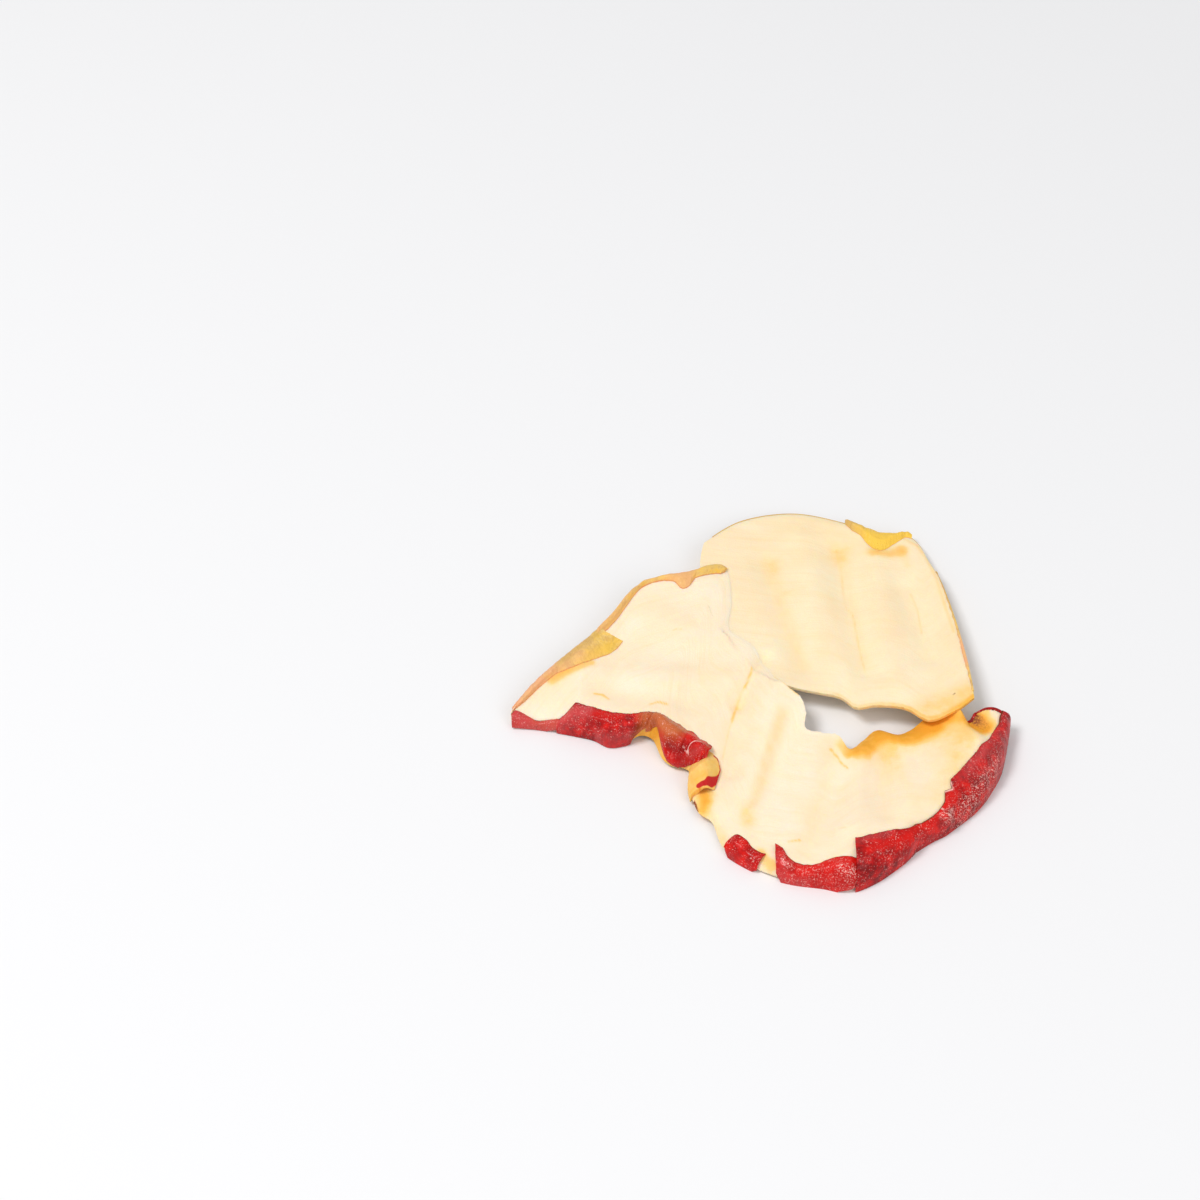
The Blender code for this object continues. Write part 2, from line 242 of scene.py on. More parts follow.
def gap_to_line(spot: Vector, start: tuple[float, float], end: tuple[float, float]) -> float:
    """Distance in plan from a spot to a line.

    Args:
        spot: the spot.
        start: one end of the line.
        end: its other end.

    Returns:
        The distance from the nearest point of the line.
    """
    first = Vector(start)
    run = Vector(end) - first
    share = min(1.0, max(0.0, (spot - first).dot(run) / run.length_squared))
    return (spot - first - run * share).length


def bell(gap: float, width: float) -> float:
    """Value that falls smoothly from 1 at no gap to 0 beyond three widths."""
    return math.exp(-(gap / width) ** 2) if gap <= BELL_REACH * width else 0.0


@dataclass(frozen=True)
class Stroke:
    """A soft mark along a line of places, in plan on a sheet and in the pattern on a flap."""

    mask: str
    places: tuple[tuple[float, float], ...]
    width: float
    strength: float

    def value(self, x: float, y: float) -> float:
        """Strength of the mark at a place.

        Args:
            x: first coordinate of the place.
            y: second coordinate of the place.

        Returns:
            The strength, which is 0 far from the mark.
        """
        spot = Vector((x, y))
        gap = min(gap_to_line(spot, start, end) for start, end in zip(self.places, self.places[1:]))
        return self.strength * bell(gap, self.width)


FRONT_STROKES = (
    # Faint amber lines along creases and edges, partly tone and partly painted shade, with small ticks and
    # browned dots
    Stroke("amber", ((0.7, 7.3), (-1.2, 3.3), (-2.6, -0.1), (-3.8, -4.6), (-4.7, -9.0)), 0.14, 0.12),
    Stroke("amber", ((-1.3, 2.9), (-1.8, 1.4)), 0.18, 0.24),
    Stroke("amber", ((-0.9, 4.4), (-1.2, 3.3)), 0.16, 0.25),
    Stroke("amber", ((-3.1, -2.0), (-3.4, -3.2)), 0.2, 0.25),
    Stroke("amber", ((7.6, -7.6), (8.3, -8.5), (8.9, -9.9), (9.5, -10.7)), 0.14, 0.3),
    Stroke("amber", ((2.3, -21.6), (3.6, -21.4)), 0.22, 0.3),
    Stroke("amber", ((7.9, -20.4), (8.7, -20.6)), 0.15, 0.25),
    Stroke("amber", ((-19.2, 0.3), (-18.3, 0.2), (-17.6, -0.5)), 0.2, 0.3),
    Stroke("amber", ((-12.8, -1.4), (-11.9, -1.0), (-10.9, -1.4)), 0.2, 0.3),
    Stroke("amber", ((-10.0, 10.5), (-9.1, 10.6)), 0.2, 0.3),
    Stroke("amber", ((-13.8, 8.1), (-12.2, 6.4)), 0.12, 0.14),
    Stroke("amber", ((-3.3, 10.8), (-2.2, 9.6), (-1.2, 8.9), (-0.8, 8.4)), 0.18, 0.35),
    Stroke("amber", ((1.7, 2.6), (2.6, 0.9), (4.2, -0.8)), 0.25, 0.35),
    Stroke("brown", ((-13.7, 4.7), (-13.6, 4.7)), 0.1, 0.8),
    Stroke("brown", ((-13.6, 2.5), (-13.5, 2.5)), 0.07, 0.4),
    # Painted amber shade along broad soft valleys
    Stroke("amber", ((2.3, -3.1), (0.8, -8.1), (-0.8, -13.9), (-2.2, -18.5)), 1.1, 0.22),
    Stroke("amber", ((7.7, -6.0), (5.6, -15.0), (3.5, -23.0)), 1.5, 0.07),
    Stroke("amber", ((-15.0, 13.7), (-12.7, 14.3), (-10.3, 16.8)), 1.3, 0.1),
    Stroke("amber", ((-27.3, 0.5), (-25.0, 1.6), (-23.0, 2.4)), 1.5, 0.13),
    Stroke("amber", ((-3.4, -15.3), (-2.7, -17.7)), 1.0, 0.12),
    Stroke("amber", ((23.5, -8.0), (21.2, -12.2), (19.2, -16.0)), 2.4, 0.2),
    Stroke("amber", ((20.5, -5.0), (22.5, -6.5)), 2.0, 0.09),
    Stroke("amber", ((14.5, -6.5), (16.0, -14.0), (16.5, -18.0)), 1.2, 0.1),
    # Painted amber shade under the left fold, beside the curl and below the roll, with browned spots
    Stroke("amber", ((-24.2, 3.1), (-22.9, 3.9), (-21.0, 4.5), (-19.8, 5.2)), 0.8, 0.48),
    Stroke("amber", ((-12.2, -4.6), (-12.0, -5.8), (-11.5, -6.9), (-11.0, -7.9)), 0.9, 0.7),
    Stroke("amber", ((-15.2, -5.1), (-13.9, -4.5), (-12.7, -4.9)), 0.7, 0.7),
    Stroke("amber", ((-10.2, -8.5), (-8.7, -9.8), (-8.3, -11.5)), 0.7, 0.6),
    Stroke("amber", ((-7.3, -12.2), (-6.9, -13.6), (-6.8, -15.1), (-7.2, -16.3)), 0.7, 0.5),
    Stroke("amber", ((-7.3, -14.9), (-6.3, -17.6), (-5.0, -20.8)), 1.1, 0.25),
    Stroke("amber", ((-7.6, -12.8), (-6.2, -14.2)), 1.4, 0.25),
    Stroke("brown", ((-8.6, -11.5), (-8.5, -12.6)), 0.2, 0.8),
    Stroke("brown", ((-8.0, -15.0), (-7.7, -16.1)), 0.2, 0.8),
    # Painted amber shade between the two front patches of skin
    Stroke("amber", ((-0.9, -22.9), (-0.3, -23.7), (0.5, -24.5)), 0.7, 0.45),
    # Painted amber and brown shade in the pit at the right tip
    Stroke("amber", ((24.1, -4.2), (25.2, -5.1)), 1.15, 1.0),
    Stroke("brown", ((24.0, -3.2), (24.5, -4.0)), 0.6, 0.32),
    Stroke("brown", ((24.6, -4.2), (25.3, -4.9)), 0.9, 0.28),
)
# Back sheet: painted amber shade in its valleys, along its top, under its fold and under its lip, fine
# amber lines partly tone and partly painted shade, and a browned dot
BACK_STROKES = (
    Stroke("amber", ((1.8, 22.9), (3.4, 14.8), (5.1, 4.5)), 1.2, 0.1),
    Stroke("amber", ((10.8, 25.1), (11.6, 16.7), (12.2, 5.7)), 1.0, 0.08),
    Stroke("amber", ((10.2, 25.6), (10.6, 15.4), (11.4, 14.0), (11.8, 8.2), (12.3, 3.9)), 0.12, 0.12),
    Stroke("amber", ((18.5, 17.5), (19.1, 14.6), (19.3, 10.5)), 0.14, 0.16),
    Stroke("amber", ((3.5, 17.4), (4.7, 17.9), (5.9, 18.0)), 0.4, 0.14),
    Stroke("amber", ((19.5, -2.6), (22.8, -1.1), (24.0, -0.3)), 2.4, 0.3),
    Stroke("amber", ((4.0, 29.0), (9.0, 29.0), (12.0, 26.0)), 2.8, 0.15),
    Stroke("amber", ((3.0, 22.5), (8.5, 24.0)), 2.2, 0.12),
    Stroke("amber", ((14.6, 24.6), (16.4, 24.4), (17.9, 25.2)), 1.0, 0.42),
    Stroke("amber", ((17.9, 24.8), (18.4, 22.3)), 0.7, 0.2),
    Stroke("amber", ((18.0, 27.6), (19.9, 25.8), (20.8, 23.2), (21.6, 20.0), (23.0, 10.0)), 0.35, 0.25),
    Stroke("brown", ((21.8, -0.9), (22.3, -0.8)), 0.1, 0.4),
)

# Marks on the flaps: along the rim and in from it
# Curl: deep red tone with painted shade in its hollow, pale cracks with a dark line, orange, pink and
# bright tones, and a ridge
CURL_STROKES = (
    Stroke("hollow", ((29.0, 0.9), (30.2, 0.9), (31.2, 1.05)), 0.5, 0.8),
    Stroke("dark", ((28.9, 1.1), (30.0, 1.0), (31.0, 1.1)), 0.55, 0.55),
    Stroke("dark", ((31.7, 1.6), (31.95, 1.25), (32.5, 1.1)), 0.1, 0.9),
    Stroke("ridge", ((33.3, 1.4), (34.5, 1.8), (35.3, 2.4)), 0.65, 0.6),
    Stroke("pale", ((30.64, 1.36), (31.1, 1.28), (31.4, 1.12), (32.0, 1.05), (32.62, 0.93)), 0.07, 0.7),
    Stroke("pale", ((32.05, 1.45), (32.2, 1.16), (32.7, 1.05), (33.23, 0.91)), 0.08, 0.8),
    Stroke("pale", ((32.0, 1.6), (32.31, 1.86), (32.92, 1.98), (33.99, 2.38)), 0.09, 0.75),
    Stroke("orange", ((23.5, 1.5), (25.3, 1.9), (26.9, 2.6), (28.7, 3.0), (29.6, 3.0)), 0.9, 0.9),
    Stroke("orange", ((25.0, 1.4), (26.9, 1.7), (28.6, 2.0), (29.4, 2.2)), 0.6, 0.8),
    Stroke("bright", ((30.7, 2.6), (32.0, 2.7), (34.4, 3.1)), 0.45, 0.9),
    Stroke("pink", ((33.2, 0.9), (34.3, 1.4), (35.0, 2.0)), 0.3, 0.6),
)
ROLL_STROKES = (
    Stroke("red", ((35.2, 4.5), (35.7, 4.9), (36.2, 5.0), (36.9, 4.9), (37.5, 4.3)), 0.16, 0.7),
    Stroke("red", ((37.7, 4.1), (37.85, 2.8)), 0.36, 1.0),
    Stroke("red", ((37.85, 2.8), (38.05, 1.2)), 0.26, 1.0),
)
# Front band: painted highlight and sheen near its right end and on a bulge, sparse specks along its lower
# part, pink and bright tones, and a ridge
FRONT_BAND_STROKES = (
    Stroke("sheen", ((57.5, 1.3), (58.2, 1.1), (58.8, 1.0)), 0.45, 1.0),
    Stroke("sheen", ((53.0, 0.5), (56.0, 0.6), (58.5, 0.4)), 0.5, 0.2),
    Stroke("sheen", ((52.3, 1.4), (52.9, 0.9)), 0.25, 1.0),
    Stroke("pink", ((50.9, 2.6), (51.6, 1.5), (52.5, 0.9)), 0.5, 0.5),
    Stroke("pink", ((52.0, 0.1), (54.5, 0.0)), 0.3, 0.4),
    Stroke("bright", ((54.0, 0.9), (56.0, 1.5), (58.0, 2.1)), 0.5, 0.8),
    Stroke("ridge", ((56.6, 1.4), (57.6, 1.3)), 0.7, 0.25),
)
# Right band: painted glints and sheen on the wrinkles at the notch, painted sheen with specks along the
# lower rim, pale tufts in the notch, ridges, a hollow, and pink and bright tones
RIGHT_BAND_STROKES = (
    Stroke("pale", ((65.2, 1.45), (65.35, 1.25)), 0.09, 0.8),
    Stroke("pale", ((65.5, 0.8), (65.75, 0.6)), 0.09, 0.8),
    Stroke("pale", ((65.85, 0.95), (66.0, 0.75)), 0.08, 0.7),
    Stroke("pale", ((66.1, 2.65), (66.7, 2.38)), 0.14, 1.0),
    Stroke("pale", ((66.8, 3.3), (66.75, 2.8)), 0.12, 0.9),
    Stroke("ridge", ((65.2, 1.0), (65.8, 0.4)), 0.2, 0.2),
    Stroke("ridge", ((65.9, 1.2), (66.4, 0.5)), 0.2, 0.2),
    Stroke("hollow", ((65.6, 1.1), (66.1, 0.4)), 0.15, 0.15),
    Stroke("sheen", ((65.3, 0.9), (65.9, 0.5)), 0.3, 1.0),
    Stroke("sheen", ((67.0, 0.5), (70.0, 0.8), (75.5, 0.8)), 0.8, 0.75),
    Stroke("pink", ((58.7, 4.3), (60.0, 4.0), (61.5, 3.0)), 0.5, 0.5),
    Stroke("pink", ((68.0, 3.0), (71.0, 3.0), (75.0, 2.8)), 0.7, 0.5),
    Stroke("bright", ((60.0, 2.6), (62.0, 1.4), (64.0, 0.9), (66.5, 1.9)), 0.6, 0.7),
)
LEFT_BAND_STROKES = (
    Stroke("pink", ((7.0, 0.6), (9.0, 1.3), (11.5, 1.6)), 0.8, 0.9),
    Stroke("dark", ((11.5, 0.8), (14.0, 0.8)), 0.5, 0.2),
    Stroke("bright", ((11.0, 1.4), (13.5, 1.6), (17.0, 1.8)), 0.6, 0.8),
    Stroke("pink", ((13.0, 0.1), (19.0, 0.3)), 0.4, 0.6),
)
LEFT_FOLD_STROKES = (
    Stroke("border", ((0.6, 0.0), (2.5, 0.0), (6.0, 0.05)), 0.12, 0.7),
    Stroke("dark", ((6.5, 0.5), (9.0, 0.7), (11.0, 0.9)), 0.8, 0.7),
    Stroke("bright", ((8.6, 4.0), (10.0, 5.2), (11.0, 6.0)), 1.6, 0.9),
)


def marks(strokes: tuple[Stroke, ...], x: float, y: float) -> Masks:
    """Sum of the strokes at a place.

    Args:
        strokes: the marks to add up.
        x: first coordinate of the place.
        y: second coordinate of the place.

    Returns:
        The value of each mask.
    """
    values: Masks = {}
    for stroke in strokes:
        values[stroke.mask] = values.get(stroke.mask, 0.0) + stroke.value(x, y)
    return values


def fold_relief(x: float, y: float) -> float:
    """Height of the ridges and creases at a place in plan."""
    spot = Vector((x, y))
    return sum(rise * bell(gap_to_line(spot, start, end), width) for start, end, rise, width in FOLDS)


@dataclass
class Sheet:
    """A sheet of flesh between two edges, with its skin shoulder along the outer one.

    swell and shoulder give how far the flesh stands up inside the rim and how wide that is,
    inner_drop and curl how far the inner edge turns down and over what width, ragged how far it is
    torn, dents how far the rim is drawn in, lying how closely the inner edge lies on the bed and
    lying_width how wide that is, each as stops by pair number. bows say how far the two short
    ends bow out, over bow_reach pairs. The swell sinks again over swell_fade, ripples fade over
    calm_width along the rim, and the flesh thins over taper at every edge. The amber tone and
    painted amber shade of the inner edge are shared out between the turned-down crest and the
    flesh far from it, and the hollows of the folds get painted amber shade too. crowding packs the
    rows towards the rim, and under_lean is how far the underside follows the rim's slope.
    """

    name: str
    pairs: tuple[tuple[Spot, Spot], ...]
    strokes: tuple[Stroke, ...]
    swell: Stops
    shoulder: Stops
    inner_drop: Stops
    curl: Stops
    inner_amber_and_shade: Stops
    ragged: Stops
    bows: tuple[Vector, Vector]
    columns_a_pair: int
    rows: int
    dents: Stops = ((0, 0.0),)
    lying: Stops = ((0, 0.0),)
    bed: Optional[BVHTree] = None
    lying_width: Stops = ((0, 5.0),)
    clearance: float = 0.04
    thickness: float = 1.1
    edge_thickness: float = 0.4
    taper: float = 1.4
    end_run: float = 3.0
    bow_reach: float = 2.0
    swell_fade: float = 7.0
    calm_width: float = 3.0
    unevenness: float = 0.35
    wave_pitch: float = 13.0
    wave_layer: float = 4.0
    fringe_width: float = 0.8
    hollow_shade: float = 0.24
    crest_shade: float = 0.72
    crest_blend: float = 0.6
    far_shade: float = 0.28
    far_fade: float = 0.8
    crowding: float = 1.35
    under_lean: float = 0.7
    inner: list[Vector] = field(init=False)
    outer: list[Vector] = field(init=False)

    def __post_init__(self) -> None:
        """Keeps the two edges as lists of points."""
        self.inner = [Vector(pair[0]) for pair in self.pairs]
        self.outer = [Vector(pair[1]) for pair in self.pairs]

    @property
    def last(self) -> int:
        """Number of the last pair."""
        return len(self.pairs) - 1

    def width(self, place: float) -> float:
        """Width in plan at a place."""
        inner, outer = self.edges(place)
        return (outer - inner).to_2d().length

    def edges(self, place: float) -> tuple[Vector, Vector]:
        """Ends of the line across the sheet at a place.

        Args:
            place: pair number along the sheet.

        Returns:
            The point of the inner edge and that of the outer one.
        """
        inner, outer = along(self.inner, place), along(self.outer, place)
        inward = (inner - outer).to_2d().normalized().to_3d()
        return inner, outer + inward * level(self.dents, place)

    def top(self, place: float, share: float) -> Vector:
        """Point of the upper face.

        Args:
            place: pair number along the sheet.
            share: 0 at the inner edge and 1 at the outer one.

        Returns:
            The point, in millimetres in the drawing.
        """
        inner, outer = self.edges(place)
        width = (outer - inner).to_2d().length
        point = inner.lerp(outer, share)
        arch = 4 * share * (1 - share)
        point += self.bows[0] * arch * max(0.0, 1 - place / self.bow_reach)
        point += self.bows[1] * arch * max(0.0, 1 - (self.last - place) / self.bow_reach)
        from_rim = (1 - share) * width
        from_hole = share * width
        reach = level(self.shoulder, place)
        if from_rim < reach:
            rise = math.sqrt(max(0.0, 1 - (1 - from_rim / reach) ** 2))
        else:
            rise = math.exp(-((from_rim - reach) / self.swell_fade) ** 2)
        point.z += level(self.swell, place) * rise
        curl = max(0.0, 1 - from_hole / level(self.curl, place))
        point.z -= level(self.inner_drop, place) * curl * curl
        calm = min(1.0, from_rim / self.calm_width)
        wave = grain(point.x, point.y, self.wave_pitch, self.wave_layer / self.wave_pitch)
        ripple = grains(point.x, point.y, RIPPLES)
        point.z += calm * (fold_relief(point.x, point.y) + self.unevenness * wave + ripple)
        closeness = level(self.lying, place) * smooth(1 - from_hole / level(self.lying_width, place))
        if self.bed is not None and closeness > 0:
            below = self.bed.ray_cast(point + UP * CAST_HEIGHT, -UP)[0]
            if below is not None:
                point.z += (below.z + self.clearance - point.z) * closeness
        return point

    def normal(self, place: float, share: float) -> Vector:
        """Direction straight out of the upper face.

        Args:
            place: pair number along the sheet.
            share: 0 at the inner edge and 1 at the outer one.

        Returns:
            The direction, with a length of 1.
        """
        step = 0.02
        low, high = max(0.0, place - step), min(self.last, place + step)
        left, right = max(0.0, share - step), min(1.0, share + step)
        run = self.top(high, share) - self.top(low, share)
        rise = self.top(place, right) - self.top(place, left)
        out = run.cross(rise).normalized()
        return out if out.z > 0 else -out

    def torn(self, place: float, share: float, width: float) -> float:
        """Share moved by the raggedness of the inner edge.

        Args:
            place: pair number along the sheet.
            share: 0 at the inner edge and 1 at the outer one.
            width: width of the sheet there.

        Returns:
            The share at which the point is put.
        """
        reach = level(self.ragged, place)
        fringe = math.exp(-share * width / self.fringe_width)
        tear = grains(place * PAIR_RUN, 0.0, SHEET_TEARS)
        return share + reach * tear * fringe / width

    def depth(self, place: float, share: float, width: float) -> float:
        """Thickness of the flesh, which thins at every edge.

        Args:
            place: pair number along the sheet.
            share: 0 at the inner edge and 1 at the outer one.
            width: width of the sheet there.

        Returns:
            The thickness.
        """
        from_end = self.end_run * min(place, self.last - place)
        near = min(share * width, (1 - share) * width, from_end)
        ease = min(1.0, near / self.taper)
        return self.edge_thickness + (self.thickness - self.edge_thickness) * ease * (2 - ease)

    def stains_and_shade(self, place: float, share: float, point: Vector, width: float) -> Masks:
        """Stains of the flesh at a point, with painted amber shade at the inner edge and in the hollows of
        the folds.

        Args:
            place: pair number along the sheet.
            share: 0 at the inner edge and 1 at the outer one.
            point: the point itself.
            width: width of the sheet there.

        Returns:
            The value of each mask.
        """
        values = marks(self.strokes, point.x, point.y)
        # Painted amber shade on the turned-down inner edge, fading into the flesh beyond it, and in the
        # hollows of the folds
        from_crest = share * width / level(self.curl, place) - 1
        edge_shade = (self.crest_shade * smooth(self.crest_blend - from_crest / self.crest_blend)
                 + self.far_shade * math.exp(-self.far_fade * max(0.0, from_crest)))
        hollow = max(0.0, -fold_relief(point.x, point.y))
        values["amber"] = (values.get("amber", 0.0) + level(self.inner_amber_and_shade, place) * edge_shade
                           + self.hollow_shade * hollow)
        return values

    def solid_point(self, run: float, across: float, upper: bool) -> tuple[Vector, Masks, Vector]:
        """Point of the sheet's solid, from its inner to its outer edge.

        Args:
            run: 0 at the start and 1 at the end of the piece.
            across: 0 at its first edge and 1 at its second one.
            upper: whether the point is on the upper face.

        Returns:
            The point, its masks and its place in the pattern.
        """
        place = run * self.last
        width = self.width(place)
        share = min(1.0, self.torn(place, 1 - (1 - across) ** self.crowding, width))
        point = self.top(place, share)
        values = self.stains_and_shade(place, share, point, width)
        if not upper:
            down = -UP.lerp(self.normal(place, share), self.under_lean * share).normalized()
            point = point + down * self.depth(place, share, width)
        return point, values, Vector((place * PAIR_RUN, share * width))

    def build(self) -> Piece:
        """The sheet as a closed solid with its stains and painted shade as vertex values."""
        columns = self.last * self.columns_a_pair
        return slab(self.name, columns, self.rows, self.solid_point, ("amber", "brown"))


@dataclass
class Flap:
    """A stretch of rim folded over a sheet.

    widths, insets, leans, bulges and heights are stops by pair number: how far the flap reaches
    over the flesh, how far from the rim it starts, how many pairs its torn edge is ahead of its
    rim, how much it stands up in the middle, and what share of its height it has. landing is the
    share of the height that it loses towards the torn edge. tints are the stops of its colour
    masks. strokes are marks in its pattern, of which a ridge stands up and a hollow goes down.
    The hem, hem_share of the rows, climbs hem_drop up to the rim. The flap turns from outward to
    upward over turn_reach, and its solid root thins to the skin by thin_share of the way over.
    """

    name: str
    sheet: Sheet
    widths: Stops
    leans: Stops = ((0, 0.0),)
    bulges: Stops = ((0, 0.2),)
    insets: Stops = ((0, 0.0),)
    heights: Stops = ((0, 1.0),)
    tints: dict[str, Stops] = field(default_factory=dict)
    strokes: tuple[Stroke, ...] = ()
    side: Side = Side.RIM
    slot: Slot = Slot.RED
    landing: float = 0.45
    ragged: float = 0.05
    crinkle: float = 0.09
    columns_a_pair: int = 50
    rows: int = 36
    rise: float = 0.35
    sink: float = 0.25
    hem_drop: float = 0.4
    hem_share: float = 0.15
    skin: float = 0.2
    border: float = 0.16
    turn_reach: float = 0.6
    hump_span: float = 0.95
    thin_share: float = 0.7
    widest_share: float = 0.9

    def share_at(self, reach: float, width: float) -> float:
        """Share of the sheet's width at a distance from the flap's own edge."""
        share = min(self.widest_share, reach / width)
        return 1 - share if self.side is Side.RIM else share

    def solid_point(self, run: float, across: float, upper: bool) -> tuple[Vector, Masks, Vector]:
        """Point of the flap's solid: up the hem, round the rim and over to the torn edge.

        Args:
            run: 0 at the start and 1 at the end of the piece.
            across: 0 at its first edge and 1 at its second one.
            upper: whether the point is on the upper face.

        Returns:
            The point, its masks and its place in the pattern.
        """
        start, end = self.widths[0][0], self.widths[-1][0]
        rim_place = start + (end - start) * run
        over = max(0.0, (across - self.hem_share) / (1 - self.hem_share))
        climb = min(1.0, across / self.hem_share)
        place = rim_place + level(self.leans, rim_place) * over
        place = max(0.0, min(self.sheet.last, place))
        inner, outer = self.sheet.edges(place)
        rib = (outer - inner).to_2d()
        width = rib.length
        outward = rib.normalized().to_3d() * (1 if self.side is Side.RIM else -1)
        nearest = level(self.insets, rim_place)
        run_mm = rim_place * PAIR_RUN
        furthest = level(self.widths, rim_place) + self.ragged * grains(run_mm, 0.0, FLAP_TEARS)
        reach = nearest + (furthest - nearest) * over
        share = self.share_at(reach, width)
        point = self.sheet.top(place, share)
        normal = self.sheet.normal(place, share)
        direction = outward.lerp(normal, smooth(reach / self.turn_reach)).normalized()
        hump = level(self.bulges, rim_place) * math.sin(math.pi * over * self.hump_span)
        crease = self.crinkle * (grains(run_mm, reach * CREASE_STRETCH_ACROSS, LONG_CREASES)
                                 + grains(run_mm * CREASE_STRETCH_ALONG, reach, CROSS_CREASES)
                                 + grains(run_mm, reach, FINE_CREASES))
        drawn = marks(self.strokes, run_mm, reach)
        hump += drawn.get("ridge", 0.0) - drawn.get("hollow", 0.0)
        height = (self.rise + hump + crease * smooth(climb)) * (1 - self.landing * smooth(2 * over - 1))
        height *= level(self.heights, rim_place)
        if not upper:
            solid = height + self.sink
            height -= solid + (self.skin - solid) * smooth(over / self.thin_share)
        point = point + direction * height - UP * self.hem_drop * (1 - climb)
        masks = {"border": 1 - smooth((furthest - reach) / self.border)}
        for name, stops in self.tints.items():
            masks[name] = level(stops, rim_place)
        for name, value in drawn.items():
            masks[name] = masks.get(name, 0.0) + value
        return point, masks, Vector((run_mm, reach))

    def build(self) -> Piece:
        """The flap as a closed solid with its colour masks as vertex values.

        Returns:
            The piece, still in millimetres in the drawing.
        """
        start, end = self.widths[0][0], self.widths[-1][0]
        columns = round((end - start) * self.columns_a_pair)
        drawn = {stroke.mask for stroke in self.strokes}
        names = tuple(sorted({"border", *self.tints, *drawn} - {"ridge", "hollow"}))
        return slab(self.name, columns, self.rows, self.solid_point, names)


@dataclass
class EdgeSkin:
    """A narrow lip of skin left on the very edge of a sheet.

    places and shares say where the lip runs on the sheet, widths how far it reaches in over the
    flesh and tints its colours, each as stops by run from 0 to 1 along the lip. wall_share of its
    rows climb the sheet's edge, and the others go in over the flesh, where the lip thins. inset and
    share_inset keep the point that it leans towards off the sheet's edges.
    """

    name: str
    sheet: Sheet
    places: Stops
    shares: Stops
    widths: Stops
    tints: dict[str, Stops] = field(default_factory=dict)
    slot: Slot = Slot.RED
    drop: float = 0.4
    skin: float = 0.09
    sink: float = 0.06
    standing: float = 0.05
    narrowest: float = 0.05
    wall_share: float = 0.4
    thinning: float = 0.5
    browning: float = 0.6
    inset: float = 0.3
    share_inset: float = 0.05
    torn_pitch: float = 0.15
    pattern_pitch: float = 0.05
    columns: int = 400
    rows: int = 12

    def solid_point(self, run: float, across: float, upper: bool) -> tuple[Vector, Masks, Vector]:
        """Point of the lip's solid: up the edge of the sheet and in over its top.

        Args:
            run: 0 at the start and 1 at the end of the piece.
            across: 0 at its first edge and 1 at its second one.
            upper: whether the point is on the upper face.

        Returns:
            The point, its masks and its place in the pattern.
        """
        place = level(self.places, run)
        share = level(self.shares, run)
        edge = self.sheet.top(place, share)
        inner_place = min(max(place, self.inset), self.sheet.last - self.inset)
        inside = self.sheet.top(inner_place, min(max(share, self.share_inset), 1 - self.share_inset))
        inward = (inside - edge).normalized()
        outward = -inward.to_2d().normalized().to_3d()
        wall = min(1.0, across / self.wall_share)
        over = max(0.0, (across - self.wall_share) / (1 - self.wall_share))
        tear = grains(run * self.columns * self.torn_pitch, 0.0, LIP_TEARS)
        reach = max(self.narrowest, level(self.widths, run) + tear)
        point = (edge + outward * self.standing * (1 - over) - UP * self.drop * (1 - wall)
                 + inward * reach * over)
        turn = smooth((across - self.wall_share / 2) / self.wall_share)
        direction = outward.lerp(UP, turn).normalized()
        point += direction * (self.skin if upper else -self.sink) * (1 - self.thinning * over)
        masks = {"border": self.browning * over}
        for name, stops in self.tints.items():
            masks[name] = level(stops, run)
        return point, masks, Vector((run * self.columns * self.pattern_pitch, reach * over))

    def build(self) -> Piece:
        """The lip as a closed solid with its colour masks as vertex values."""
        return slab(self.name, self.columns, self.rows, self.solid_point, ("border", *self.tints))


SolidPoint = Callable[[float, float, bool], tuple[Vector, Masks, Vector]]


def slab(name: str, columns: int, rows: int, solid_point: SolidPoint, masks: tuple[str, ...]) -> Piece:
    """Closed solid from a flat slab whose points are moved one by one.

    Args:
        name: name of the piece.
        columns: cells along the piece.
        rows: cells across it.
        solid_point: gives the point, the masks and the pattern place for two shares and a face.
        masks: names of the masks, kept as vertex attributes.

    Returns:
        The piece, still in millimetres in the drawing.
    """
    shape = bmesh.new()
    bmesh.ops.create_grid(shape, x_segments=columns, y_segments=rows, size=0.5)
    base = shape.faces[:] + shape.edges[:] + shape.verts[:]
    raised = bmesh.ops.extrude_face_region(shape, geom=base, use_keep_orig=True)["geom"]
    top_verts = [item for item in raised if isinstance(item, bmesh.types.BMVert)]
    bmesh.ops.translate(shape, verts=top_verts, vec=(0, 0, 1))
    layers = {mask: shape.verts.layers.float.new(mask) for mask in masks}
    pattern = shape.loops.layers.uv.new("pattern")
    places: dict[bmesh.types.BMVert, Vector] = {}
    for vert in shape.verts:
        upper = vert.co.z > 0.5
        vert.co, values, places[vert] = solid_point(vert.co.x + 0.5, vert.co.y + 0.5, upper)
        for mask, layer in layers.items():
            vert[layer] = values.get(mask, 0.0)
    for face in shape.faces:
        face.smooth = True
        for loop in face.loops:
            loop[pattern].uv = places[loop.vert]
    bmesh.ops.recalc_face_normals(shape, faces=shape.faces)
    mesh = bpy.data.meshes.new(name)
    shape.to_mesh(mesh)
    shape.free()
    mesh.set_sharp_from_angle(angle=SHARP_ANGLE)
    piece = bpy.data.objects.new(name, mesh)
    bpy.context.scene.collection.objects.link(piece)
    return piece


def surface_of(piece: Piece) -> BVHTree:
    """Tree of a piece's faces, to find its surface below a point.

    Args:
        piece: the piece.

    Returns:
        The tree, in the piece's own units.
    """
    shape = bmesh.new()
    shape.from_mesh(piece.data)
    tree = BVHTree.FromBMesh(shape)
    shape.free()
    return tree


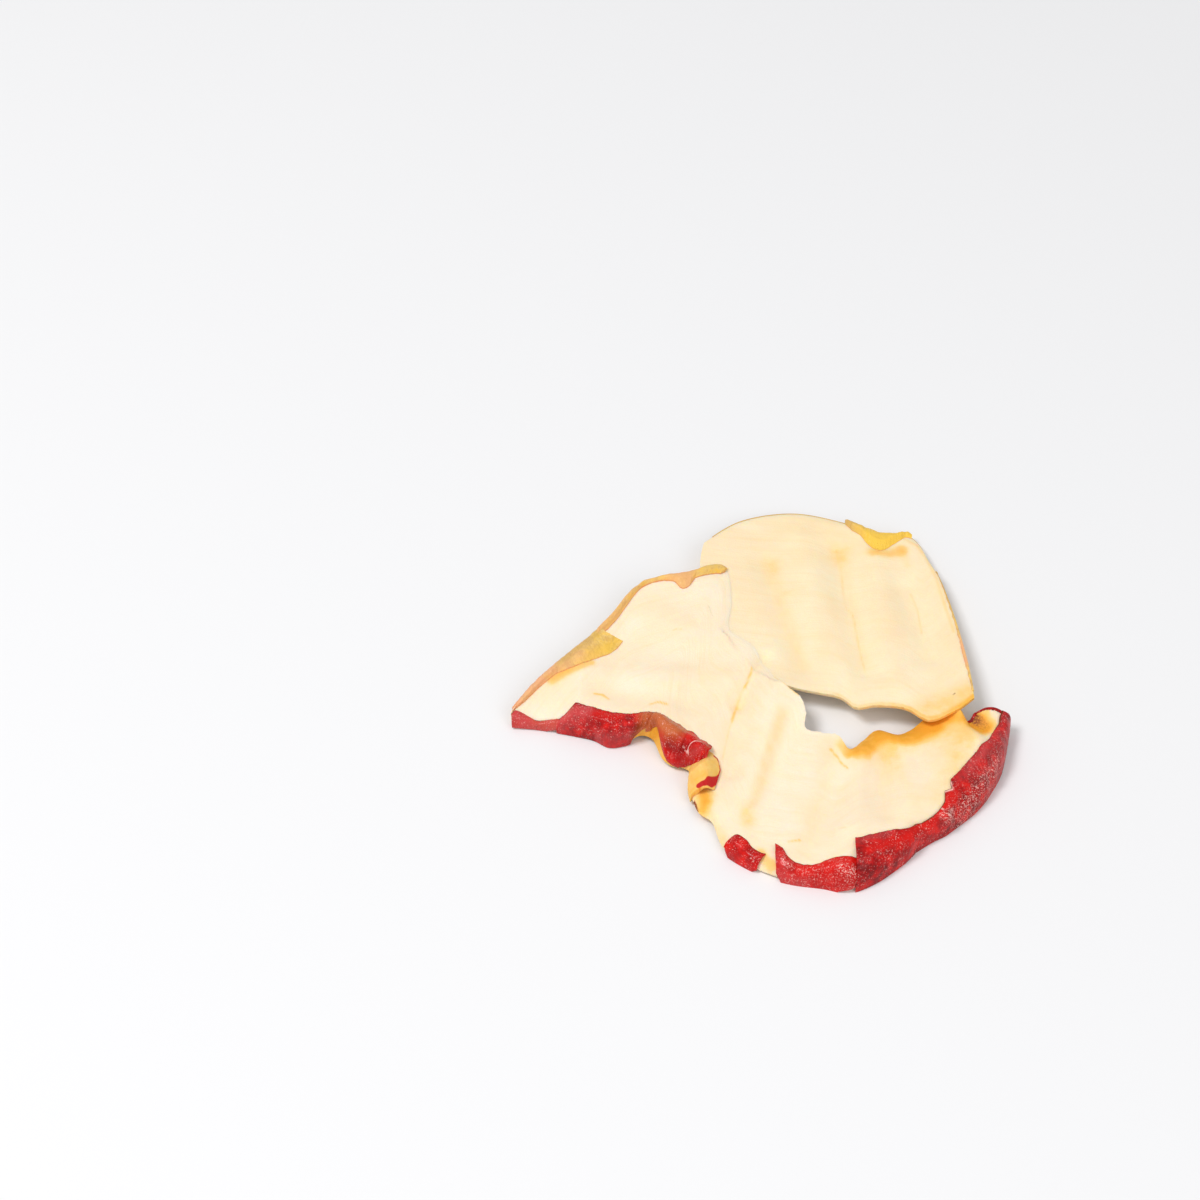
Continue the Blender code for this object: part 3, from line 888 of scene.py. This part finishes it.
class NodeBoard:
    """A material's node tree, with short calls that add and join its nodes."""

    def __init__(self, name: str) -> None:
        """Starts a material with its Principled shader."""
        self.material = bpy.data.materials.new(name)
        self.material.use_nodes = True
        self.nodes = self.material.node_tree.nodes
        self.shader = self.nodes["Principled BSDF"]

    def join(self, value: Feed, socket: Socket) -> None:
        """Links an output to a socket, or sets the socket to a plain value.

        Args:
            value: an output, a colour or a number.
            socket: the input that takes it.
        """
        if isinstance(value, Socket):
            self.material.node_tree.links.new(value, socket)
        elif isinstance(value, tuple) and len(value) == 3 and socket.type == "RGBA":
            socket.default_value = (*value, 1.0)
        else:
            socket.default_value = value

    def mask(self, name: str) -> Socket:
        """Value of a mask.

        Args:
            name: name of the vertex attribute.

        Returns:
            Its value, 0 on a piece that lacks it.
        """
        node = self.nodes.new("ShaderNodeAttribute")
        node.attribute_name = name
        return node.outputs["Fac"]

    def coordinates(self, scale: Spot, pattern: bool = False) -> Socket:
        """Places for a texture.

        Args:
            scale: factors of the three axes.
            pattern: whether they run along and across the piece, and aren't the object's own.

        Returns:
            The scaled places.
        """
        if pattern:
            source = self.nodes.new("ShaderNodeUVMap")
            source.uv_map = "pattern"
            place = source.outputs["UV"]
        else:
            place = self.nodes.new("ShaderNodeTexCoord").outputs["Object"]
        mapping = self.nodes.new("ShaderNodeMapping")
        mapping.inputs["Scale"].default_value = scale
        self.join(place, mapping.inputs["Vector"])
        return mapping.outputs["Vector"]

    def cloud(self, place: Socket, scale: float, detail: float = 2.0, roughness: float = 0.5) -> Socket:
        """Noise.

        Args:
            place: where it is taken.
            scale: bumps for one unit of place.
            detail: number of finer layers.
            roughness: strength of the finer layers.

        Returns:
            The noise, from about 0 to 1.
        """
        node = self.nodes.new("ShaderNodeTexNoise")
        node.inputs["Scale"].default_value = scale
        node.inputs["Detail"].default_value = detail
        node.inputs["Roughness"].default_value = roughness
        self.join(place, node.inputs["Vector"])
        return node.outputs["Fac"]

    def ramp(self, value: Socket, stops: tuple[tuple[float, Colour], ...]) -> Socket:
        """Colour by value.

        Args:
            value: the value.
            stops: positions from 0 to 1, each with its colour.

        Returns:
            The colour.
        """
        node = self.nodes.new("ShaderNodeValToRGB")
        elements = node.color_ramp.elements
        while len(elements) < len(stops):
            elements.new(0.5)
        for element, (position, colour) in zip(elements, stops):
            element.position = position
            element.color = (*colour, 1.0)
        self.join(value, node.inputs["Fac"])
        return node.outputs["Color"]

    def span(self, value: Socket, low: float, high: float,
             out_low: float = 0.0, out_high: float = 1.0) -> Socket:
        """Value stretched from one range to another and held at its ends.

        Args:
            value: the value.
            low: lower end of its range.
            high: upper end of its range.
            out_low: result at the lower end.
            out_high: result at the upper end.

        Returns:
            The stretched value.
        """
        node = self.nodes.new("ShaderNodeMapRange")
        ends = {"From Min": low, "From Max": high, "To Min": out_low, "To Max": out_high}
        for name, number in ends.items():
            node.inputs[name].default_value = number
        self.join(value, node.inputs["Value"])
        return node.outputs["Result"]

    def mix(self, share: Feed, first: Feed, second: Feed, blend: str = "MIX") -> Socket:
        """Two colours mixed.

        Args:
            share: share of the second colour.
            first: the first colour.
            second: the second colour.
            blend: the way of mixing.

        Returns:
            The mixed colour.
        """
        node = self.nodes.new("ShaderNodeMix")
        node.data_type = "RGBA"
        node.blend_type = blend
        self.join(share, node.inputs["Factor"])
        colours = [socket for socket in node.inputs if socket.type == "RGBA"]
        self.join(first, colours[0])
        self.join(second, colours[1])
        return [socket for socket in node.outputs if socket.type == "RGBA"][0]

    def product(self, first: Feed, second: Feed) -> Socket:
        """Two values multiplied.

        Args:
            first: one value.
            second: the other one.

        Returns:
            Their product.
        """
        node = self.nodes.new("ShaderNodeMath")
        node.operation = "MULTIPLY"
        self.join(first, node.inputs[0])
        self.join(second, node.inputs[1])
        return node.outputs["Value"]

    def bump(self, height: Socket, relief: Relief, before: Optional[Socket] = None) -> Socket:
        """Bump of a height.

        Args:
            height: the height, from 0 to 1.
            relief: what its full range is in metres, and the bump's strength.
            before: the bump below it.

        Returns:
            The bumped normal.
        """
        distance, strength = relief
        node = self.nodes.new("ShaderNodeBump")
        node.inputs["Strength"].default_value = strength
        node.inputs["Distance"].default_value = distance
        self.join(height, node.inputs["Height"])
        if before is not None:
            self.join(before, node.inputs["Normal"])
        return node.outputs["Normal"]


@dataclass(frozen=True)
class FleshFinish:
    """Dried flesh: cream, with amber tone and painted amber shade and glow where it is thin or folded,
    browned in places, finely fibred.

    A relief is a bump's height in metres and its strength. streaks and bands are the scales of the
    two patterns that run out from the core hole, and the glow is the light inside the flesh.
    """

    name: str
    cream: Colour = (1.0, 0.78, 0.54)
    pale: Colour = (1.0, 0.84, 0.65)
    honey: Colour = (1.0, 0.66, 0.27)
    orange: Colour = (1.0, 0.50, 0.08)
    amber: Colour = (0.86, 0.38, 0.03)
    brown: Colour = (0.25, 0.06, 0.01)
    red: Colour = (0.56, 0.01, 0.01)
    streaks: Spot = (0.4, 3.4, 1.0)
    bands: Spot = (0.1, 0.8, 1.0)
    roughness: tuple[float, float] = (0.5, 0.68)
    specular: float = 0.3
    glow: float = 0.35
    glow_radius: Colour = (1.0, 0.55, 0.2)
    glow_scale: float = 0.001
    streak_relief: Relief = (0.00004, 0.6)
    fine_relief: Relief = (0.00004, 0.8)

    def material(self) -> Material:
        """The finish as a material."""
        board = NodeBoard(self.name)
        plain = board.coordinates(PER_MM)
        patch = board.cloud(plain, 0.18, 3.0)
        streak = board.cloud(board.coordinates(self.streaks, pattern=True), 1.0, 3.0, 0.65)
        band = board.cloud(board.coordinates(self.bands, pattern=True), 1.0, 2.0)
        fine = board.cloud(plain, 5.0, 3.0, 0.7)
        colour = board.ramp(board.span(patch, 0.3, 0.7), ((0.0, self.cream), (1.0, self.pale)))
        colour = board.mix(board.span(streak, 0.5, 0.8, 0.0, 0.2), colour, self.honey)
        colour = board.mix(board.span(band, 0.5, 0.8, 0.0, 0.25), colour, self.honey)
        colour = board.mix(board.span(fine, 0.4, 0.9, 0.0, 0.2), colour, self.cream, "MULTIPLY")
        # Amber tone with painted amber shade and glow where the mask says, broken up by noise
        breaks = board.span(board.cloud(plain, 0.9, 3.0), 0.3, 0.7, 0.85, 1.15)
        broken = board.product(board.mask("amber"), breaks)
        amber_and_shade_stops = ((0.0, self.pale), (0.3, self.honey), (0.65, self.orange), (1.0, self.amber))
        amber_and_shade_tint = board.ramp(broken, amber_and_shade_stops)
        colour = board.mix(board.span(broken, 0.0, 0.35), colour, amber_and_shade_tint)
        # Browned spots, and painted brown shade in the pit, where the mask says
        spots = board.product(board.mask("brown"), board.span(fine, 0.3, 0.6, 0.5, 1.5))
        colour = board.mix(board.span(spots, 0.15, 0.7), colour, self.brown)
        colour = board.mix(board.span(board.mask("red"), 0.35, 0.55), colour, self.red)
        shader = board.shader
        board.join(colour, shader.inputs["Base Color"])
        board.join(board.span(fine, 0.3, 0.8, *self.roughness), shader.inputs["Roughness"])
        shader.inputs["Specular IOR Level"].default_value = self.specular
        shader.inputs["Subsurface Weight"].default_value = self.glow
        shader.inputs["Subsurface Radius"].default_value = self.glow_radius
        shader.inputs["Subsurface Scale"].default_value = self.glow_scale
        bump = board.bump(streak, self.streak_relief)
        bump = board.bump(fine, self.fine_relief, bump)
        board.join(bump, shader.inputs["Normal"])
        return board.material


@dataclass(frozen=True)
class SkinFinish:
    """Dried skin: waxy, mottled, finely wrinkled, with many tiny pale specks, and with painted highlights,
    glints, sheen and shade where its masks say.

    A relief is a bump's height in metres and its strength. wrinkles and scratches are the scales of
    the patterns along and across a flap. Grit makes the skin smoother or rougher than its roughness.
    """

    name: str
    deep: Colour
    middle: Colour
    bright: Colour
    orange: Colour
    pink: Colour
    speck_and_highlight: Colour
    edge: Colour
    speck_share: float = 0.9
    roughness: float = 0.4
    gloss: float = 0.4
    coat_roughness: float = 0.14
    smoother: float = 0.06
    rougher: float = 0.12
    specular: float = 0.12
    wrinkles: Spot = (2.4, 0.55, 1.0)
    scratches: Spot = (0.7, 4.0, 1.0)
    wrinkle_relief: Relief = (0.0002, 0.8)
    scratch_relief: Relief = (0.0001, 0.7)
    grit_relief: Relief = (0.00005, 0.7)

    def material(self) -> Material:
        """The finish as a material."""
        board = NodeBoard(self.name)
        plain = board.coordinates(PER_MM)
        patch = board.cloud(plain, 0.8, 4.0, 0.62)
        cluster = board.cloud(plain, 0.55, 2.0)
        wrinkle = board.cloud(board.coordinates(self.wrinkles, pattern=True), 1.6, 3.0, 0.6)
        scratch = board.cloud(board.coordinates(self.scratches, pattern=True), 1.5, 3.0, 0.7)
        grit = board.cloud(plain, 5.2, 2.0, 0.8)
        stops = ((0.0, self.deep), (0.5, self.middle), (1.0, self.bright))
        colour = board.ramp(board.span(patch, 0.36, 0.64), stops)
        colour = board.mix(board.mask("bright"), colour, self.bright)
        broken = board.span(cluster, 0.3, 0.6, 0.6, 1.2)
        colour = board.mix(board.product(board.mask("orange"), broken), colour, self.orange)
        colour = board.mix(board.product(board.mask("pink"), broken), colour, self.pink)
        # Deep tone, and painted shade where it marks the curl's hollow
        colour = board.mix(board.mask("dark"), colour, self.deep)
        # Painted highlight and sheen, with specks, in the speck colour where the mask says
        sheen = board.product(board.mask("sheen"), board.span(grit, 0.52, 0.6))
        colour = board.mix(sheen, colour, self.speck_and_highlight)
        crowd = board.span(cluster, 0.35, 0.6, 0.1, 0.9)
        lines = board.span(scratch, 0.38, 0.6, 0.4, 1.0)
        dots = board.product(board.span(grit, 0.595, 0.64), lines)
        dots = board.product(dots, crowd)
        colour = board.mix(board.product(dots, self.speck_share), colour, self.speck_and_highlight)
        # Pale cracks and tufts, and painted glints, where the mask says
        colour = board.mix(board.span(board.mask("pale"), 0.25, 0.7), colour, self.speck_and_highlight)
        torn = board.product(board.mask("border"), board.span(grit, 0.4, 0.6, 0.5, 1.1))
        colour = board.mix(board.span(torn, 0.3, 0.8), colour, self.edge)
        shader = board.shader
        board.join(colour, shader.inputs["Base Color"])
        low, high = self.roughness - self.smoother, self.roughness + self.rougher
        board.join(board.span(grit, 0.3, 0.7, low, high), shader.inputs["Roughness"])
        shader.inputs["Specular IOR Level"].default_value = self.specular
        shader.inputs["Coat Weight"].default_value = self.gloss
        shader.inputs["Coat Roughness"].default_value = self.coat_roughness
        bump = board.bump(wrinkle, self.wrinkle_relief)
        bump = board.bump(scratch, self.scratch_relief, bump)
        bump = board.bump(grit, self.grit_relief, bump)
        board.join(bump, shader.inputs["Normal"])
        return board.material


FRONT_FLESH = FleshFinish("front_flesh")
BACK_FLESH = FleshFinish("back_flesh", cream=(1.0, 0.77, 0.50), pale=(1.0, 0.83, 0.58))
RED_SKIN = SkinFinish("red_skin", deep=(0.21, 0.001, 0.002), middle=(0.45, 0.001, 0.002),
                      bright=(0.72, 0.008, 0.004), orange=(0.60, 0.14, 0.04), pink=(0.64, 0.065, 0.065),
                      speck_and_highlight=(0.95, 0.50, 0.44), edge=(0.16, 0.035, 0.01), gloss=0.24)
GREEN_SKIN = SkinFinish("green_skin", deep=(0.66, 0.41, 0.13), middle=(0.87, 0.60, 0.18),
                        bright=(0.95, 0.60, 0.08), orange=(0.97, 0.52, 0.13), pink=(0.90, 0.44, 0.22),
                        speck_and_highlight=(0.97, 0.76, 0.38), edge=(0.80, 0.32, 0.12), speck_share=0.6, roughness=0.45,
                        gloss=0.1)


@dataclass
class Chip:
    """The chip: its two sheets, the flaps on them and their finishes."""

    pieces: list[Piece] = field(default_factory=list)

    def keep(self, piece: Piece, material: Material) -> Piece:
        """Dresses a piece, ties it to the model and notes it.

        Args:
            piece: the finished mesh, in millimetres in the drawing.
            material: the piece's material.

        Returns:
            The piece.
        """
        piece.data.materials.append(material)
        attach(piece, BODY)
        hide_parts(NODE)
        self.pieces.append(piece)
        log.info("%s: %d faces", piece.name, len(piece.data.polygons))
        return piece

    def settle(self) -> None:
        """Brings the pieces to metres, over the origin and down onto the floor."""
        lowest = min(vert.co.z for piece in self.pieces for vert in piece.data.vertices)
        for piece in self.pieces:
            for vert in piece.data.vertices:
                vert.co = (vert.co - DRAWING_CENTRE - UP * lowest) * MM

    def front_sheet(self, bed: BVHTree) -> Sheet:
        """The broad sheet from the left tip round the front to the right tip.

        Args:
            bed: the surface that its cut end lies on.

        Returns:
            The sheet.
        """
        return Sheet(
            "front_flesh", FRONT_PAIRS, FRONT_STROKES,
            swell=((0, 0.3), (2, 0.9), (3, 2.0), (8, 2.2), (10, 1.8), (11.5, 0.7), (13, 0.3),
                   (14.5, 0.6), (15.3, 1.4), (16.3, 1.2), (17, 1.7), (19, 2.5), (21, 2.6),
                   (24, 3.0), (25, 2.7), (26, 1.5)),
            shoulder=((0, 1.0), (2, 1.0), (3, 2.6), (7, 2.2), (10, 2.6), (12, 1.2), (14.5, 1.2),
                      (15.3, 2.0), (18, 2.2), (19, 4.2), (20, 3.6), (21, 2.2), (22, 3.8),
                      (25, 2.2), (26, 1.2)),
            inner_drop=((17.5, 0.0), (18.5, 0.9), (20, 1.2), (21.5, 1.0), (22.3, 0.3), (22.8, 0.0)),
            curl=((17.5, 1.3), (18.3, 1.7), (18.7, 2.7), (19.4, 3.7), (20.2, 2.3), (20.7, 2.0),
                  (22, 3.0), (23.5, 3.0), (24.3, 1.5)),
            inner_amber_and_shade=((16.8, 0.0), (17.6, 0.35), (18.3, 0.85), (21, 1.0), (22.3, 1.1),
                         (23.3, 0.7), (24, 0.4), (24.6, 0.25)),
            ragged=((7.5, 0.05), (13, 0.12), (24, 0.12)),
            bows=(Vector((0.0, 0.0, 0.0)), Vector((0.3, 0.7, 0.2))),
            columns_a_pair=10, rows=80,
            dents=((8.0, 0.0), (8.7, -0.25), (9.4, -0.4), (9.7, -0.4), (10.1, 0.0),
                   (19.6, 0.0), (20.15, 0.35), (20.4, 0.75), (20.75, 0.5), (21.1, 0.05), (22, 0.0)),
            lying=((6.3, 0.0), (7.0, 1.0), (11.4, 1.0), (12.2, 0.0)),
            lying_width=((7.0, 12.0), (8.5, 10.0), (9.5, 7.0), (11.0, 5.0)), bed=bed)

    def back_sheet(self) -> Sheet:
        """The sheet behind the core hole, from its end under the front sheet to the right edge.

        Returns:
            The sheet.
        """
        return Sheet(
            "back_flesh", BACK_PAIRS, BACK_STROKES,
            swell=((0, 0.2), (8, 0.5)), shoulder=((0, 1.5), (8, 1.5)), inner_drop=((0, 0.0),),
            curl=((0, 0.6),), inner_amber_and_shade=((0, 0.0), (2, 0.25), (5.5, 0.3), (8, 0.45)),
            ragged=((1, 0.08), (3, 0.14), (6, 0.2), (8, 0.12)),
            bows=(Vector((-3.4, 0.0, 0.0)), Vector((0.5, 0.0, 0.0))),
            columns_a_pair=16, rows=110)

    def build(self) -> None:
        """Builds and dresses every piece: the sheets, then the flaps and the lips on them."""
        front_flesh = FRONT_FLESH.material()
        back_flesh = BACK_FLESH.material()
        finishes = {Slot.FLESH: front_flesh, Slot.RED: RED_SKIN.material(),
                    Slot.GREEN: GREEN_SKIN.material()}
        back = self.back_sheet()
        bed = self.keep(back.build(), back_flesh)
        front = self.front_sheet(surface_of(bed))
        self.keep(front.build(), front_flesh)
        for strip in (*self.flaps(front, back), *self.lips(front, back)):
            self.keep(strip.build(), finishes[strip.slot])
        self.settle()

    def flaps(self, front: Sheet, back: Sheet) -> tuple[Flap, ...]:
        """The torn stretches of rim.

        Args:
            front: the front sheet.
            back: the back sheet.

        Returns:
            The flaps, from the left tip round the front, then along the cut edge and the back.
        """
        return (
            Flap("left_tip_skin", front,
                 ((0, 0.6), (0.25, 1.1), (0.42, 1.05), (0.65, 0.7), (0.91, 0.36), (1.11, 0.3),
                  (1.5, 0.42), (1.75, 0.52), (2.1, 0.62), (2.3, 0.6)),
                 bulges=((0, 0.1),), insets=((1.5, 0.0), (2.3, 0.15)), ragged=0.03, border=0.01,
                 columns_a_pair=30,
                 tints={"orange": ((0.6, 0.2), (0.9, 0.8), (1.9, 0.8), (2.3, 0.2)),
                        "pink": ((0, 0.7), (1, 0.9), (2.3, 0.6))}),
            Flap("lower_left_band", front,
                 ((2, 0.5), (2.19, 0.68), (2.38, 1.02), (2.63, 1.6), (2.87, 2.32), (3.38, 2.14),
                  (4.21, 2.18), (4.7, 2.4), (5.2, 2.5), (5.75, 2.2), (6.3, 1.95), (6.82, 1.7),
                  (7.54, 1.7), (8, 1.65)),
                 bulges=((2, 0.1), (3, 0.5)), insets=((6.3, 0.0), (7.2, 0.45), (8, 0.9)),
                 heights=((7.4, 1.0), (8, 0.2)), strokes=LEFT_BAND_STROKES, columns_a_pair=30,
                 tints={"orange": ((6.1, 0.0), (6.9, 0.75), (8, 0.9))}),
            Flap("curled_end", front,
                 ((7.33, 1.7), (7.63, 1.8), (8.15, 2.1), (8.66, 3.1), (9.24, 3.85), (9.84, 3.6),
                  (10.52, 3.2), (10.8, 3.35), (11.31, 3.7), (11.75, 4.3)),
                 leans=((10.7, 0.0), (11.75, -0.4)),
                 bulges=((7.33, 0.4), (8.5, 1.5), (10.6, 1.5), (11.75, 0.9)),
                 insets=((7.33, 0.2), (7.7, 0.4), (8.2, 1.1), (8.6, 0.9), (9, 0.5), (9.3, 0.2),
                         (10, 0.1), (10.5, 0.25), (11, 0.6), (11.25, 1.05), (11.5, 1.8), (11.75, 3.0)),
                 heights=((7.33, 0.3), (7.7, 1.0)), strokes=CURL_STROKES, rows=54,
                 tints={"orange": ((7.33, 0.9), (7.9, 0.8), (8.35, 0.0)),
                        "bright": ((8.3, 0.0), (8.8, 0.5))}),
            # Flesh roll: amber in tone, with painted amber shade, and red strips of skin
            Flap("flesh_roll", front,
                 ((10.9, 3.2), (11.2, 4.3), (11.5, 5.0), (11.9, 5.0), (12.15, 4.1), (12.35, 3.2)),
                 leans=((10.9, 0.3), (11.5, 0.5), (12.15, 0.6)), bulges=((0, 0.8),),
                 heights=((10.9, 0.1), (11.2, 0.4), (11.6, 1.0)), strokes=ROLL_STROKES,
                 tints={"amber": ((10.9, 0.65), (11.4, 0.5), (12, 0.55))}, slot=Slot.FLESH),
            Flap("small_patch", front,
                 ((15.07, 0.35), (15.1, 0.75), (15.14, 1.15), (15.19, 1.42), (15.26, 1.66), (15.32, 1.75),
                  (15.4, 1.79), (15.48, 1.77), (15.55, 1.7), (15.62, 1.58), (15.68, 1.46), (15.75, 1.36),
                  (15.82, 1.3), (15.9, 1.28), (15.98, 1.31), (16.07, 1.42)),
                 leans=((15.7, 0.0), (16.07, 0.11)), ragged=0.02, columns_a_pair=70,
                 insets=((15.07, 0.2), (15.12, 0.08), (15.2, 0.0), (15.95, 0.0), (16.07, 0.1)),
                 tints={"bright": ((15, 0.35),)}),
            Flap("front_band", front,
                 ((16.65, 3.12), (16.72, 3.05), (16.85, 2.72), (16.95, 2.1), (17, 1.8), (17.07, 1.55),
                  (17.1, 1.44), (17.2, 1.22), (17.41, 1.1), (17.65, 1.14), (17.88, 1.34), (18.06, 1.68),
                  (18.34, 2.2), (18.56, 2.5), (18.7, 2.55), (18.82, 2.52), (18.98, 2.25), (19.17, 2.0)),
                 leans=((16.65, -0.33), (17.3, 0.0)), ragged=0.03,
                 insets=((16.65, 0.35), (16.72, 0.15), (16.82, 0.0), (18.5, 0.0), (19.17, 0.15)),
                 bulges=((16.6, 0.15), (17.3, 0.3), (18.6, 0.5), (19.17, 0.1)),
                 heights=((18.85, 1.0), (19.17, 0.3)), strokes=FRONT_BAND_STROKES,
                 tints={"bright": ((16.6, 0.4), (17.5, 0.5), (19, 0.6))}),
            Flap("right_band", front,
                 ((19, 4.75), (19.35, 4.36), (19.71, 3.44), (20.07, 2.25), (20.33, 1.5), (20.57, 1.12),
                  (20.84, 1.1), (20.98, 1.25), (21.09, 1.54), (21.21, 1.8), (21.27, 2.35), (21.31, 2.8),
                  (21.36, 2.7), (21.52, 2.5), (21.55, 3.2), (21.6, 3.5), (21.99, 3.62), (22.63, 3.75),
                  (23.99, 3.5), (25.05, 2.2), (25.53, 1.2), (26.1, 1.0)),
                 leans=((19, -0.1), (20, 0.0)), bulges=((19, 0.5), (20, 0.2)), strokes=RIGHT_BAND_STROKES,
                 tints={"pink": ((22, 0.0), (23, 0.2), (25, 0.3), (26, 0.15))}),
            Flap("left_fold", front,
                 ((0.12, 0.25), (0.29, 0.35), (0.7, 0.84), (1.26, 1.14), (1.8, 1.45), (2.15, 2.54),
                  (2.48, 3.62), (2.74, 4.54), (3.04, 5.74), (3.32, 7.2), (3.5, 7.9), (3.6, 7.7)),
                 leans=((0, 0.0), (1.8, 0.05), (3.6, 1.15)), bulges=((0, 0.1),),
                 insets=((3.3, 0.0), (3.6, 0.15)), side=Side.CUT, skin=0.12, landing=0.85, border=0.3,
                 strokes=LEFT_FOLD_STROKES,
                 tints={"pink": ((0, 0.9), (1.4, 0.8), (2.6, 0.4), (3.3, 0.1))}, slot=Slot.GREEN),
            Flap("top_strip", front,
                 ((3.5, 1.0), (3.67, 1.3), (3.98, 1.8), (4.17, 1.85), (4.43, 2.1), (4.66, 1.9),
                  (4.83, 1.4), (4.99, 0.85), (5.14, 0.65), (5.28, 0.55), (5.48, 0.6), (5.6, 0.8),
                  (5.71, 1.1), (5.8, 1.7), (5.88, 2.3), (5.97, 2.65), (6.06, 2.65), (6.13, 2.4),
                  (6.17, 1.8), (6.2, 1.4), (6.45, 1.45), (6.69, 1.5), (6.92, 1.2), (7.06, 0.4)),
                 bulges=((0, 0.12),), side=Side.CUT, skin=0.12, landing=0.7,
                 tints={"pink": ((3.6, 0.5), (4.6, 0.3), (5.4, 0.1), (5.8, 0.8), (6.1, 0.6), (6.3, 0.0)),
                        "orange": ((3.5, 0.5), (5.6, 0.3), (5.9, 0.7), (6.2, 0.2)),
                        "dark": ((4.5, 0.0), (5, 0.3), (5.6, 0.1))}, slot=Slot.GREEN),
            Flap("back_fold", back,
                 ((2.9, 0.3), (3.05, 1.28), (3.3, 1.7), (3.44, 2.5), (3.58, 3.0), (3.71, 3.35),
                  (3.9, 3.55), (4.05, 3.45), (4.18, 3.15), (4.42, 2.3), (4.72, 1.35), (4.93, 0.6),
                  (5.3, 0.35)),
                 bulges=((0, 0.3),), landing=0.9, border=0.01,
                 tints={"bright": ((3.1, 0.3), (3.4, 1.0), (5, 1.0)),
                        "dark": ((2.9, 0.8), (3.3, 0.3), (3.5, 0.0))}, slot=Slot.GREEN),
        )

    def lips(self, front: Sheet, back: Sheet) -> tuple[EdgeSkin, ...]:
        """The narrow lips of skin left on the edges between the flaps.

        Args:
            front: the front sheet.
            back: the back sheet.

        Returns:
            The lips.
        """
        return (
            EdgeSkin("right_tip_lip", front, places=((0, 23.7), (0.5, 26.0), (1, 26.0)),
                     shares=((0, 0.0), (0.5, 0.0), (1, 0.95)), widths=((0, 0.25), (0.5, 0.3), (1, 0.45))),
            EdgeSkin("right_edge_lip", back, places=((0, 8.0), (0.45, 8.0), (1, 0.3)),
                     shares=((0, 0.05), (0.45, 1.0), (1, 1.0)),
                     widths=((0, 0.12), (0.12, 0.3), (0.25, 0.15), (0.6, 0.3)), columns=700,
                     tints={"pink": ((0.06, 0.1), (0.11, 0.9), (0.16, 0.9), (0.22, 0.1)),
                            "dark": ((0.2, 0.0), (0.3, 0.7))}, slot=Slot.GREEN),
        )


@dataclass(frozen=True)
class Lamp:
    """A square soft light that points at the chip: its place and size in metres and its watts."""

    name: str
    place: Spot
    size: float
    watts: float

    def build(self) -> None:
        """Hangs the light."""
        light = bpy.data.lights.new(self.name, "AREA")
        light.size = self.size
        light.energy = self.watts
        lamp = bpy.data.objects.new(self.name, light)
        lamp.location = self.place
        lamp.rotation_euler = (-Vector(self.place)).to_track_quat("-Z", "Y").to_euler()
        bpy.context.scene.collection.objects.link(lamp)


@dataclass(frozen=True)
class Studio:
    """Pale floor, soft light and a camera at the photograph's viewing angle."""

    lamps: tuple[Lamp, ...] = (Lamp("key", (-0.36, -0.12, 0.7), 0.26, 3.3),
                               Lamp("fill", (0.35, -0.5, 0.5), 0.5, 1.4))
    sky_colour: Colour = (1.0, 1.0, 1.0)
    sky_strength: float = 0.52
    lens: float = 100.0
    sensor: float = 36.0
    distance: float = 0.4
    elevation: float = math.radians(45)
    aim: tuple[float, float] = (-18.6, 18.4)
    floor_size: float = 3.0
    floor_colour: Colour = (0.86, 0.86, 0.87)
    floor_roughness: float = 0.7

    def floor(self) -> None:
        """A plain pale floor."""
        shape = bmesh.new()
        bmesh.ops.create_grid(shape, x_segments=1, y_segments=1, size=self.floor_size / 2)
        mesh = bpy.data.meshes.new("floor")
        shape.to_mesh(mesh)
        shape.free()
        floor = bpy.data.objects.new("floor", mesh)
        bpy.context.scene.collection.objects.link(floor)
        board = NodeBoard("floor")
        board.join(self.floor_colour, board.shader.inputs["Base Color"])
        board.join(self.floor_roughness, board.shader.inputs["Roughness"])
        mesh.materials.append(board.material)

    def sky(self) -> None:
        """An even pale light from all around, shown without a film look."""
        world = bpy.data.worlds.new("studio")
        world.use_nodes = True
        backdrop = world.node_tree.nodes["Background"]
        backdrop.inputs["Color"].default_value = (*self.sky_colour, 1.0)
        backdrop.inputs["Strength"].default_value = self.sky_strength
        bpy.context.scene.world = world
        bpy.context.scene.view_settings.view_transform = "Standard"

    def camera(self) -> None:
        """The camera, aimed at a point left of and behind the chip, as the photograph is framed."""
        camera_data = bpy.data.cameras.new("camera")
        camera_data.lens = self.lens
        camera_data.sensor_width = self.sensor
        camera = bpy.data.objects.new("camera", camera_data)
        target = Vector((self.aim[0] - DRAWING_CENTRE.x, self.aim[1] - DRAWING_CENTRE.y, 0.0)) * MM
        sight = Vector((0.0, -math.cos(self.elevation), math.sin(self.elevation)))
        camera.location = target + sight * self.distance
        camera.rotation_euler = (-sight).to_track_quat("-Z", "Y").to_euler()
        bpy.context.scene.collection.objects.link(camera)
        bpy.context.scene.camera = camera

    def build(self) -> None:
        """Sets the stage."""
        self.floor()
        for lamp in self.lamps:
            lamp.build()
        self.sky()
        self.camera()


def main() -> None:
    """Builds the chip and its stage."""
    logging.basicConfig(level=logging.INFO, format="%(name)s %(message)s")
    Chip().build()
    Studio().build()


if __name__ == "__main__":
    main()
